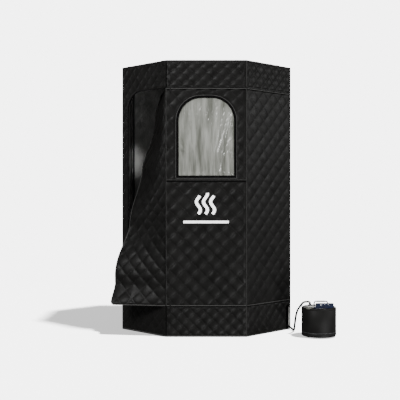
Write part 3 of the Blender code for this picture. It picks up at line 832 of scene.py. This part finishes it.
def make_walls():
    roof_place = lambda u, v, d: PLAN(u, v, HEIGHT + d)
    plan_area = (2 * HALF) ** 2 - 2 * (HALF - FRONT) ** 2
    quilted("roof_quilted", (-HALF, -HALF, HALF, HALF), roof_place, "root", ["roof_panel"], steps=12,
            outline=octagon, area=plan_area, rests_on=["top_rail_ring"], sag=0.004)
    names = {2: "right", 3: "back_right", 4: "back", 5: "back_left", 6: "left"}
    for side, name in names.items():
        length, place = side_of(side)
        steps = 16 if side in (2, 6) else 12
        quilted(f"wall_{name}_quilted", (CORNER_GAP, LOW, length - CORNER_GAP, HIGH), place, "root",
                [f"wall_{name}"], centre=length / 2, steps=steps, puff=SIDE_PUFF, held="hung",
                rests_on=["top_rail_ring"])
    for side, name in ((0, "front"), (1, "front_right")):
        length, place = side_of(side)
        small = dict(period=SMALL_DIAMOND, centre=length / 2)
        right = length - CORNER_GAP
        quilted(f"band_{name}_quilted", (CORNER_GAP, DOOR_TOP, right, HIGH), place, "root",
                [f"band_{name}"], puff=SMALL_PUFF, held="hung", rests_on=["top_rail_ring"], **small)
        cut = port if side == 1 else None
        quilted(f"skirt_{name}_quilted", (CORNER_GAP, LOW, right, SKIRT_TOP), place, "root",
                [f"skirt_{name}"], puff=SKIRT_PUFF, cut=cut, rests_on=["bottom_rail_ring"], **small)
    length, place = side_of(7)
    right = length - CORNER_GAP
    area = (right - CORNER_GAP) * (HIGH - LOW) - (right - STRIP) * (DOOR_TOP - SKIRT_TOP)
    quilted("doorway_quilted", (CORNER_GAP, LOW, right, HIGH), place, "root", ["doorway_panel"],
            SMALL_DIAMOND, length / 2, puff=SIDE_PUFF, cut=opening, area=area, held="hung",
            rests_on=["top_rail_ring"], corners=[(right, SKIRT_TOP), (right, DOOR_TOP)])


def corner_place(index):
    """Places (u, v, out) at a corner post line: out points away from the cabin."""
    out = corner(index) / np.linalg.norm(corner(index))
    return flat_place(corner(index) - out * 0.0012, np.cross(UP, out), out)


def make_piping():
    """Cord sewn into the corners, round the roof's edge and along the floor hem."""
    def upright(name, index, low, high, body="root", look=None):
        line = resample([(0.0, low), (0.0, high)], 0.02)
        binding(name, line, cord_profile(0.0030), corner_place(index), body, look)

    for index in range(2, 8):
        upright(f"corner_piping_{index + 1}", index, LOW, HIGH)
    for index in (0, 1):
        look = "dark_piping" if index == 0 else "dim_piping"
        upright(f"corner_piping_{index + 1}_low", index, LOW, SKIRT_TOP - ZIP_GAP, look=look)
        upright(f"corner_piping_{index + 1}_high", index, DOOR_TOP + ZIP_GAP, HIGH, look=look)
    upright("corner_piping_2_door", 1, DOOR_LOW, DOOR_HIGH, "door_front", look="dim_piping")
    hinge = resample([(-FRONT, -HALF, DOOR_LOW), (-FRONT, -HALF, DOOR_HIGH)], 0.02)
    hinge_roll = pipe("flap_hinge_roll", hinge, 0.0038, "piping", "flap_middle", sides=24, look="quilt")
    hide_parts("flap_corner_cord")
    for name, inset, height, radius in (("roof_edge_piping", 0.0012, HEIGHT - 0.0020, 0.0032),
                                        ("floor_hem_piping", 0.0010, LOW + 0.0010, 0.0030)):
        ring = [corner(i, inset)[:2] for i in range(9)]
        path = resample(ring, 0.02)[:-1]
        binding(name, path, cord_profile(radius, height), PLAN, cyclic=True)


def make_doorway_edge():
    length, place = side_of(7)
    right = length - CORNER_GAP
    low_centre = (STRIP + OPENING_LOW_R, SKIRT_TOP + OPENING_LOW_R)
    high_centre = (STRIP + OPENING_R, DOOR_TOP - OPENING_R)

    def line(back):
        """The opening's outline, moved back onto the panel so that the closed flap clears it."""
        outline = [
            (right, SKIRT_TOP - back),
            *arc(low_centre, OPENING_LOW_R + back, 270.0, 180.0),
            *arc(high_centre, OPENING_R + back, 180.0, 90.0),
            (right, DOOR_TOP + back),
        ]
        return resample(outline, 0.01)

    binding("doorway_zip_tape", line(0.0), tape_profile(-0.014, -0.001, 0.0014), place, slot="zip")
    binding("doorway_edge_piping", line(DOORWAY_SETBACK), cord_profile(0.0026, -0.0018), place,
            look="dark_piping")
    teeth("doorway_zip_teeth", line(DOORWAY_SETBACK), place, 0.0, 0.0016, "root")


def teeth(name, path, place, aside, out, body, pitch=0.0028):
    """A row of small zip teeth along a path, stepping to either side of it."""
    path = np.asarray(path, float)
    lengths = np.r_[0.0, np.cumsum(np.linalg.norm(np.diff(path, axis=0), axis=1))]
    along = np.arange(pitch, lengths[-1] - pitch, pitch)
    u = np.interp(along, lengths, path[:, 0])
    v = np.interp(along, lengths, path[:, 1])
    ahead = unit(np.stack([np.gradient(u), np.gradient(v)], axis=1))
    swing = aside + 0.0007 * np.where(np.arange(len(u)) % 2, 1.0, -1.0)
    cube = np.array([(x, y, z) for x in (-1, 1) for y in (-1, 1) for z in (-1, 1)], float)
    cube *= (0.0009, 0.0019, 0.0008)
    x = u[:, None] + ahead[:, 0, None] * cube[:, 0] + ahead[:, 1, None] * (cube[:, 1] + swing[:, None])
    y = v[:, None] + ahead[:, 1, None] * cube[:, 0] - ahead[:, 0, None] * (cube[:, 1] + swing[:, None])
    z = np.broadcast_to(out + cube[:, 2], x.shape)
    points = place(x.ravel(), y.ravel(), z.ravel())
    block = np.array([(0, 1, 3, 2), (4, 6, 7, 5), (0, 4, 5, 1), (2, 3, 7, 6), (0, 2, 6, 4), (1, 5, 7, 3)])
    faces = (np.arange(len(u))[:, None, None] * 8 + block).reshape(-1, 4)
    return piece(name, points, faces, "zip", body, angle=20.0)


def round_place():
    """Places (u, v, out) over the front and front right faces, bending at their corner."""
    first = side_of(0)[1]
    second = side_of(1)[1]
    turn = sqrt(2.0) - 1.0

    def place(u, v, d):
        over = (u > 2 * FRONT)[:, None]
        near = np.abs(u - 2 * FRONT) < 1e-9
        points = np.where(over, second(u - 2 * FRONT, v, d), first(u, v, d))
        mitre = corner(1) + UP * v[:, None] + np.array([turn, -1.0, 0.0]) * d[:, None]
        return np.where(near[:, None], mitre, points)

    return place


def make_zip_tracks():
    """The two zip tapes over and under the door, with their teeth."""
    place = round_place()
    length = 2 * FRONT + side_of(1)[0] - CORNER_GAP
    for name, node_name, edge in (("upper", "zip_tape_upper", 1.0), ("lower", "zip_tape_lower", -1.0)):
        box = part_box(node_name)
        middle = (box[0].z + box[1].z) / 2
        half = (box[1].z - box[0].z) / 2
        path = np.concatenate([resample([(CORNER_GAP, middle), (2 * FRONT, middle)], 0.01),
                               resample([(2 * FRONT, middle), (length, middle)], 0.01)[1:]])
        tape = binding(f"zip_{name}_tape", path, tape_profile(-half, half, 0.0012, 0.0), place, slot="zip")
        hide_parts(node_name)
        inner = box[0].z if edge > 0 else box[1].z
        row = path + [0.0, inner - middle + 0.0015 * edge]
        teeth(f"zip_{name}_teeth", row, place, 0.0, 0.0020, "root")


# Door


def window_path(offset, steps=14):
    """The window's outline, moved outwards by offset."""
    left, low, right, high = WINDOW
    left, low, right, high = left - offset, low - offset, right + offset, high + offset
    r = WINDOW_R + offset
    path = [(left, low), (right, low), *arc((right - r, high - r), r, 0.0, 90.0, steps),
            *arc((left + r, high - r), r, 90.0, 180.0, steps), (left, low)]
    return resample(path, 0.01)[:-1] + [FRONT, 0.0]


def window_box(lap):
    left, low, right, high = WINDOW
    return left - lap + FRONT, low - lap, right + lap + FRONT, high + lap


def window_hole(u, v, lap=0.0):
    return rounded_box(u, v, window_box(lap), 0.0, WINDOW_R + lap)


def crease(u, v):
    """Creases in the window film: fanned out under the arch, hanging straight below it."""
    x = u - FRONT
    fan = x / (0.14 + 0.80 * np.maximum(v - 1.20, 0.0))
    high = smooth((v - 1.22) / 0.25)
    total = []
    for a, z, top in zip(fan.ravel(), v.ravel(), high.ravel()):
        wide = abs(noise.noise(Vector((a * 3.6, z * 0.9, 1.7))))
        thin = abs(noise.noise(Vector((a * 9.0, z * 1.8, 6.3))))
        small = abs(noise.noise(Vector((a * 30.0, z * 26.0, 3.1))))
        total.append(0.0120 * wide + 0.0075 * thin + 0.0045 * small * top)
    fold = (x - FOLD[0]) * (FOLD[3] - FOLD[1]) - (v - FOLD[1]) * (FOLD[2] - FOLD[0])
    fold = fold / np.hypot(FOLD[2] - FOLD[0], FOLD[3] - FOLD[1])
    return np.array(total).reshape(u.shape) + 0.013 * smooth(0.5 + fold / 0.020) - 0.006


def make_door():
    length, place = side_of(1)
    quilted("door_side_quilted", (CORNER_GAP, DOOR_LOW, length - CORNER_GAP, DOOR_HIGH), place, "door_side",
            ["door_side_panel"], centre=length / 2, puff=SIDE_PUFF, held="hung", rests_on=["post_3"])
    length, place = side_of(0)
    right = length - CORNER_GAP
    quilted("door_lower_quilted", (CORNER_GAP, DOOR_LOW, right, SEAM_Z), place, "door_front",
            ["door_lower_panel"], centre=FRONT, held="hung", rests_on=["post_2"], seed=LOWER_SEED,
            flat_rim=lambda u, v: rounded_box(u, v, (-1.0, DOOR_LOW, right, SEAM_Z)))
    hole_area = (WINDOW[2] - WINDOW[0]) * (WINDOW[3] - WINDOW[1]) - (2 - pi / 2) * WINDOW_R**2

    def rim(u, v):
        """The window panel's own edges and its hole's, the hole grown under its binding."""
        edges = rounded_box(u, v, (-1.0, SEAM_Z, right, DOOR_HIGH))
        return np.maximum(edges, -window_hole(u, v, WINDOW_BINDING))

    quilted("door_window_quilted", (CORNER_GAP, SEAM_Z + 0.0003, right, DOOR_HIGH), place, "door_front",
            ["door_window_panel"], centre=FRONT, held="hung", rests_on=["post_2"], cut=window_hole,
            area=(right - CORNER_GAP) * (DOOR_HIGH - SEAM_Z) - hole_area, flat_rim=rim,
            corners=[(WINDOW[0] + FRONT, WINDOW[1]), (WINDOW[2] + FRONT, WINDOW[1])])
    make_window(place)
    band = resample([(CORNER_GAP, SEAM_Z + 0.002), (right, SEAM_Z + 0.002)], 0.01)
    for name, path, profile, look in (
        ("band", band, tape_profile(-0.0075, -0.0006, 0.0042), "dim_piping"),
        ("fold", band, tape_profile(-0.0004, 0.0105, 0.0030), "dark_piping"),
        ("stitching", band + [0.0, 0.0055], cord_profile(0.0004, 0.0043, 6), None),
    ):
        binding(f"door_seam_{name}", path, profile, place, "door_front", look)
    make_mark(place)
    for side, body in ((0, "door_front"), (1, "door_side")):
        length, place = side_of(side)
        for name, height in (("top", DOOR_HIGH - 0.0028), ("low", DOOR_LOW + 0.0028)):
            line = resample([(CORNER_GAP, height), (length - CORNER_GAP, height)], 0.01)
            binding(f"{body}_{name}_piping", line, cord_profile(0.0024, 0.0022), place, body)
            binding(f"{body}_{name}_fold", line - [0.0, 0.0066], tape_profile(-0.0036, 0.0036, 0.0020), place,
                    body, "dark_piping")


def make_window(place):
    box = window_box(FILM_LAP)
    pitch = 0.0036
    lines = (grid_lines(box[0], box[2], pitch, 0.0), grid_lines(box[1], box[3], pitch, 0.0))
    outline = lambda u, v: window_hole(u, v, FILM_LAP)

    def face(u, v):
        loose = smooth(-window_hole(u, v) / 0.03)
        return -FILM_DEPTH + loose * (crease(u, v) - 0.0005)

    film = shell("window_film_creased", lines, outline, place, face, lambda u, v: face(u, v) - FILM, "film",
                 "door_front", ["film"], corners=[(box[0], box[1]), (box[2], box[1])])
    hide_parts("window_film")
    for name, offset, profile, look in (
        ("binding", 0.0, tape_profile(-0.0005, 0.0145, 0.0028), "dark_piping"),
        ("piping", 0.0150, cord_profile(0.0019, 0.0014), None),
        ("lip", -0.0008, cord_profile(0.0017, -0.0018), "dark_piping"),
    ):
        binding(f"window_{name}", window_path(offset), profile, place, "door_front", look, cyclic=True)


def ribbon(name, path, width, place, body):
    """A thin printed shape, white print with a painted glow, that lies on the lower door panel's quilting."""
    path = resample(path, 0.004)
    ahead = unit(np.gradient(path, axis=0))
    across = np.linspace(-0.5, 0.5, 5) * width
    u = path[:, 0, None] + ahead[:, 1, None] * across
    v = path[:, 1, None] - ahead[:, 0, None] * across
    box = (CORNER_GAP, DOOR_LOW, 2 * FRONT - CORNER_GAP, SEAM_Z)
    wide = smooth(-rounded_box(u, v, box) / DRAPE_FADE)
    height = PUFF * quilting(u - FRONT, v, DIAMOND, LOWER_SEED) - SUNK
    height = height + DRAPE * ripples(u, v, LOWER_SEED, DRAPE_SIZE) * wide
    top, bottom = height + 0.0011, height - 0.0006
    loop_u = np.concatenate([u, u[:, ::-1]], axis=1)
    loop_v = np.concatenate([v, v[:, ::-1]], axis=1)
    loop_d = np.concatenate([top, bottom[:, ::-1]], axis=1)
    points = place(loop_u.ravel(), loop_v.ravel(), loop_d.ravel())
    return piece(name, points, ring_faces(len(path), 10), "quilt", body, materials=["print"])


def make_mark(place):
    """A plain steam sign: three wavy lines over a bar."""
    for i, centre in enumerate(MARK_WAVES):
        height = np.linspace(MARK_LOW, MARK_HIGH - 0.018 * abs(i - 1), 34)
        wave = centre + 0.013 * np.sin((height - MARK_LOW) * 2 * pi / 0.105)
        path = np.stack([wave + FRONT, height], axis=1)
        ribbon(f"steam_mark_wave_{i + 1}", path, 0.019, place, "door_front")
    left, right, height = MARK_BAR
    ribbon("steam_mark_bar", [(FRONT + left, height), (FRONT + right, height)], 0.015, place, "door_front")


# Flap


def flap_turn(v):
    """The open flap's angle from +Y towards -X at height v, in radians."""
    step = FLAP_CENTRES[1] - FLAP_CENTRES[0]
    turn = np.full(np.shape(v), FLAP_ANGLES[0])
    for start, now, then in zip(FLAP_CENTRES, FLAP_ANGLES, FLAP_ANGLES[1:]):
        turn = turn + (then - now) * smooth((v - start) / step)
    foot, foot_height = FLAP_FOOT_TURN
    head, head_height = FLAP_HEAD_TURN
    turn = turn + foot * smooth((foot_height - v) / 0.15) + head * smooth((v - head_height) / 0.15)
    return np.radians(turn)


def flap_place(u, v, d):
    """The flap as it hangs open: a sheet twisted about the front left corner."""
    turn = flap_turn(v)
    depth, length = FLAP_WAVE
    wave = depth * np.sin(v * 2 * pi / length + 0.6) * (u / FLAP_WIDTH) ** 2
    out = d - wave
    away = np.stack([-np.sin(turn), np.cos(turn), np.zeros_like(turn)], axis=1)
    normal = np.stack([np.cos(turn), np.sin(turn), np.zeros_like(turn)], axis=1)
    return corner(0) + away * u[:, None] + UP * v[:, None] + normal * out[:, None]


def flap_free_edges(u, v):
    return rounded_box(u, v, (-1.0, DOOR_LOW, FLAP_WIDTH, DOOR_HIGH), FLAP_LOW_R, FLAP_R)


def flap_outline(u, v):
    return np.maximum(flap_free_edges(u, v), FLAP_START - u)


def make_flap():
    """Three lengths of one twisted sheet, each standing for one or two of the CAD's flap bodies."""
    cuts = (DOOR_LOW, FLAP_CENTRES[1], FLAP_CENTRES[2], DOOR_HIGH)
    edge_path = np.array(resample([
        (FLAP_START, DOOR_LOW + 0.002),
        *arc((FLAP_WIDTH - FLAP_LOW_R, DOOR_LOW + FLAP_LOW_R), FLAP_LOW_R - 0.002, 270.0, 360.0),
        *arc((FLAP_WIDTH - FLAP_R, DOOR_HIGH - FLAP_R), FLAP_R - 0.002, 0.0, 90.0),
        (FLAP_START, DOOR_HIGH - 0.002),
    ], 0.008))
    stood_for = (["flap_section_1", "flap_section_2"], ["flap_section_3"], ["flap_section_4"])
    for i, (low, high) in enumerate(zip(cuts, cuts[1:])):
        seam = (FLAP_CENTRES[i], FLAP_CENTRES[i + 1])
        ends = [(-FRONT, -HALF, z) for z in seam]
        box = (FLAP_START, low, FLAP_WIDTH, high)
        name = ("low", "middle", "high")[i]
        cloth = quilted(f"flap_{name}_quilted", box, flap_place, None, stood_for[i], centre=FLAP_WIDTH / 2,
                        outline=flap_outline, held="hung", rests_on=["post_1"], back=1.0, seed=FLAP_SEED,
                        flat_rim=flap_free_edges)
        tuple(ends[0])
        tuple(ends[1])
        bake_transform(cloth)
        inside = (edge_path[:, 1] > low - 1e-6) & (edge_path[:, 1] < high + 1e-6)
        run = edge_path[inside]
        if i < 2:
            run = np.concatenate([run, [(FLAP_WIDTH, high)]])
        if i > 0:
            run = np.concatenate([[(FLAP_WIDTH, low)], run])
        cord = binding(f"flap_{name}_edge_piping", run, cord_profile(0.0032, 0.0022), flap_place, None)
        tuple(ends[0])
        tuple(ends[1])
        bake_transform(cord)


# Zip sliders


def plate(name, loops, matrix, thick, edge, slot, body):
    """A flat part with rounded edges, from outlines with holes among them."""
    data = bpy.data.curves.new(name, "CURVE")
    data.dimensions = "2D"
    data.fill_mode = "BOTH"
    data.extrude = thick / 2 - edge
    data.bevel_depth = edge
    data.bevel_resolution = 2
    data.offset = -edge
    for loop in loops:
        add_line(data, [(x, y, 0.0) for x, y in loop], closed=True)
    carrier = linked(name + "_line", data)
    mesh = bpy.data.meshes.new_from_object(carrier.evaluated_get(bpy.context.evaluated_depsgraph_get()))
    bpy.data.objects.remove(carrier)
    bm = bmesh.new()
    bm.from_mesh(mesh)
    bmesh.ops.remove_doubles(bm, verts=bm.verts, dist=1e-6)
    bm.transform(matrix)
    points = [tuple(v.co) for v in bm.verts]
    faces = [[v.index for v in f.verts] for f in bm.faces]
    bm.free()
    return piece(name, points, faces, slot, body, angle=40.0)


def rounded_loop(left, low, right, high, r, steps=4):
    return [
        *arc((right - r, low + r), r, 270.0, 360.0, steps),
        *arc((right - r, high - r), r, 0.0, 90.0, steps),
        *arc((left + r, high - r), r, 90.0, 180.0, steps),
        *arc((left + r, low + r), r, 180.0, 270.0, steps),
    ]


def upright_plane(centre):
    """A plane facing the front, with x and z as its two ways."""
    return Matrix.Translation(centre) @ Matrix.Rotation(radians(90.0), 4, "X")


def middle(node_name):
    """(centre, half size) of a CAD node's box."""
    low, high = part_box(node_name)
    return (low + high) / 2, (high - low) / 2


def make_sliders():
    for name in ("upper", "lower"):
        centre, half = middle(f"zip_slider_{name}")
        body = plate(f"zip_slider_{name}_shield", [rounded_loop(-half.x, -half.z, half.x, half.z, 0.0028)],
                     upright_plane(centre), 2 * half.y, 0.0012, "zip", f"slider_{name}")
        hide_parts(f"zip_slider_{name}")
        centre, half = middle(f"zip_pull_{name}")
        slot_hole = rounded_loop(-half.x * 0.42, -half.z * 0.80, half.x * 0.42, -half.z * 0.15, half.x * 0.40)
        pull = plate(f"zip_pull_{name}_tab",
                     [rounded_loop(-half.x, -half.z, half.x, half.z, half.x * 0.8), slot_hole],
                     upright_plane(centre), 2 * half.y, 0.0004, "zip", f"pull_{name}")
        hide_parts(f"zip_pull_{name}")


# Steam generator


def make_generator():
    base_low, base_high = (p.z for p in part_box("generator_base"))
    housing_low, housing_high = HOUSING[0].z, HOUSING[1].z
    fillet = 0.008
    base = [(0.0, base_low), *arc((BODY_R - fillet, base_low + fillet), fillet, 270.0, 360.0),
            (BODY_R, base_high - 0.0010), (BODY_R - 0.0006, base_high), (BODY_R - SHELL, base_high),
            (BODY_R - SHELL, base_low + fillet), (BODY_R - fillet, base_low + 0.003), (0.0, base_low + 0.003)]
    made = lathe("generator_base_moulded", base, GENERATOR, "base_plastic")
    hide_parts("generator_base")
    wall = [(BODY_R - 0.0008, housing_low), (BODY_R, housing_low + 0.0010), (BODY_R, housing_high - 0.0012),
            (BODY_R - 0.0009, housing_high), (BODY_R - SHELL, housing_high), (BODY_R - SHELL, housing_low)]
    made = lathe("generator_housing_moulded", wall, GENERATOR, "black_plastic", closed=True)
    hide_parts("generator_housing")
    turn = np.linspace(0.0, 2 * pi, 12, endpoint=False)
    for name, height in (("generator_seam_ring", housing_low), ("lid_seam_ring", housing_high)):
        band = [(BODY_R - 0.0006 + 0.0011 * cos(a), height + 0.0009 * sin(a)) for a in turn]
        slot = "grey_plastic" if name == "generator_seam_ring" else "black_plastic"
        lathe(name, band, GENERATOR, slot, closed=True)
    make_cap()
    make_buttons()
    make_handle()
    make_outlet()


def make_cap():
    low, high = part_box("filler_cap")
    centre = Vector(((low.x + high.x) / 2, (low.y + high.y) / 2, 0.0))
    r = (high.x - low.x) / 2
    seat = low.z + 0.005
    profile = [(0.0, low.z), (0.0125, low.z), (0.0125, seat), (r - 0.0012, seat), (r - 0.0004, seat + 0.0010),
               (r - 0.0004, high.z - 0.0045), (r - 0.0010, high.z - 0.0025), (r - 0.0028, high.z - 0.0008),
               (r - 0.0050, high.z), (r - 0.0110, high.z), (r - 0.0130, high.z - 0.0010),
               (r - 0.0150, high.z - 0.0022), (0.0060, high.z - 0.0020), (0.0, high.z - 0.0018)]
    ribs = (48, 0.00035, seat + 0.0005, high.z - 0.0030)
    made = lathe("filler_cap_ribbed", profile, centre, "silver", "filler_cap", 192, ribs=ribs)
    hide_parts("filler_cap")


def make_buttons():
    """Push buttons with a domed top, standing square to the sloping panel."""
    for i in (1, 2, 3):
        solid = NODES[f"button_{i}"]
        low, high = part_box(f"button_{i}")
        centre = (low + high) / 2
        turned = solid.matrix_world.to_3x3()
        normal = max((turned @ p.normal for p in solid.data.polygons), key=lambda n: n.z)
        r = (high.x - low.x) / 2
        profile = [(0.0, -0.0017), (r, -0.0017), (r, 0.0008), (r - 0.0005, 0.0014), (r * 0.6, 0.0019),
                   (0.0, 0.0021)]
        made = lathe(f"button_{i}_domed", profile, Vector((0.0, 0.0, 0.0)), "button", f"button_{i}", 40)
        turn = Vector((0.0, 0.0, 1.0)).rotation_difference(normal).to_matrix().to_4x4()
        made.data.transform(Matrix.Translation(centre) @ turn)
        # Button 1 keeps the pale material, a painted glow for its lit power ring; buttons 2 and 3 are dark
        # blue plastic.
        if i > 1:
            made.data.materials[0] = MATERIALS["dark_button"]
        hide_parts(f"button_{i}")


def make_handle():
    low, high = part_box("carry_handle")
    r = (high.y - low.y) / 2
    y = (low.y + high.y) / 2
    left, right, top, foot = low.x + r, high.x - r, high.z - r, low.z
    bend = 0.012
    knots = [(left, foot), (left, foot + 0.006), *arc((left + bend, top - bend), bend, 180.0, 90.0),
             *arc((right - bend, top - bend), bend, 90.0, 0.0), (right, foot + 0.006), (right, foot)]
    path = resample([(x, y, z) for x, z in knots], 0.002)
    middle = np.clip(1.0 - np.abs(path[:, 0] - (left + right) / 2) / 0.030, 0.0, 1.0)
    radius = r * (0.92 + 0.12 * smooth(middle * 2.2))
    made = pipe("carry_handle_grip", path, radius, "grey_plastic", sides=24, look="handle_metal")
    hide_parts("carry_handle")
    ring = [(r * 0.8, foot), (r * 1.7, foot), (r * 1.7, foot + 0.0012), (r * 1.2, foot + 0.0026),
            (r * 0.8, foot + 0.0028)]
    for i, x in enumerate((left, right)):
        lathe(f"handle_socket_{i + 1}", ring, Vector((x, y, 0.0)), "grey_plastic", segments=40, closed=True)


def make_outlet():
    path = spline(ELBOW, 6)
    made = pipe("outlet_elbow_smooth", path, HOSE_R, "grey_plastic", sides=28, look="pale_plastic")
    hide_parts("outlet_elbow")
    end = np.array(ELBOW[-1])
    way = end - np.array(ELBOW[-2])
    way /= np.linalg.norm(way)
    along = np.linspace(0.0006, 0.0166, 41)
    radius = HOSE_R + 0.0013 + 0.0005 * np.cos(along * 2 * pi / 0.0032)
    radius[[0, -1]] = HOSE_R + 0.0006
    made = pipe("hose_collar_ribbed", end + way * along[:, None], radius, "grey_plastic", sides=32)
    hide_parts("hose_collar")


def make_port_binding():
    """The slit's rolled edge: dark up its left and over the top, and a wide pale turn-back on its right."""
    length, place = side_of(1)
    centre = length - PORT_CENTRE
    spring = PORT_TOP - PORT_HALF
    left_and_arch = [(centre - PORT_HALF, LOW), *arc((centre, spring), PORT_HALF, 180.0, 0.0, 14)]
    right = [(centre + PORT_HALF, spring), (centre + PORT_HALF, LOW)]
    for name, path, profile, look in (
        ("rolled", left_and_arch, tape_profile(-0.0045, -0.0003, 0.0024), "dark_piping"),
        ("pale", right, tape_profile(-0.0085, -0.0003, 0.0034), "pale_binding"),
    ):
        made = binding(f"hose_port_{name}_edge", resample(path, 0.006), profile, place, look=look)
        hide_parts("hose_port_binding")


# Carried-over CAD nodes


def finish_nodes():
    """Each CAD node that still shows gets the detailed material of its slot."""
    for obj in NODES.values():
        for index, used in enumerate(obj.data.materials):
            obj.data.materials[index] = MATERIALS[used.name.split(".")[0]]
    for name, width in (("control_panel", 0.0020), ("generator_lid", 0.0006), ("power_inlet", 0.0010)):
        edge = NODES[name].modifiers.new("soft_edges", "BEVEL")
        edge.width = width
        edge.segments = 3
        edge.limit_method = "ANGLE"


MATERIALS = make_materials()
make_camera()
make_hose()
make_studio()
make_walls()
make_piping()
make_doorway_edge()
make_zip_tracks()
make_door()
make_flap()
make_sliders()
make_port_binding()
make_generator()
finish_nodes()
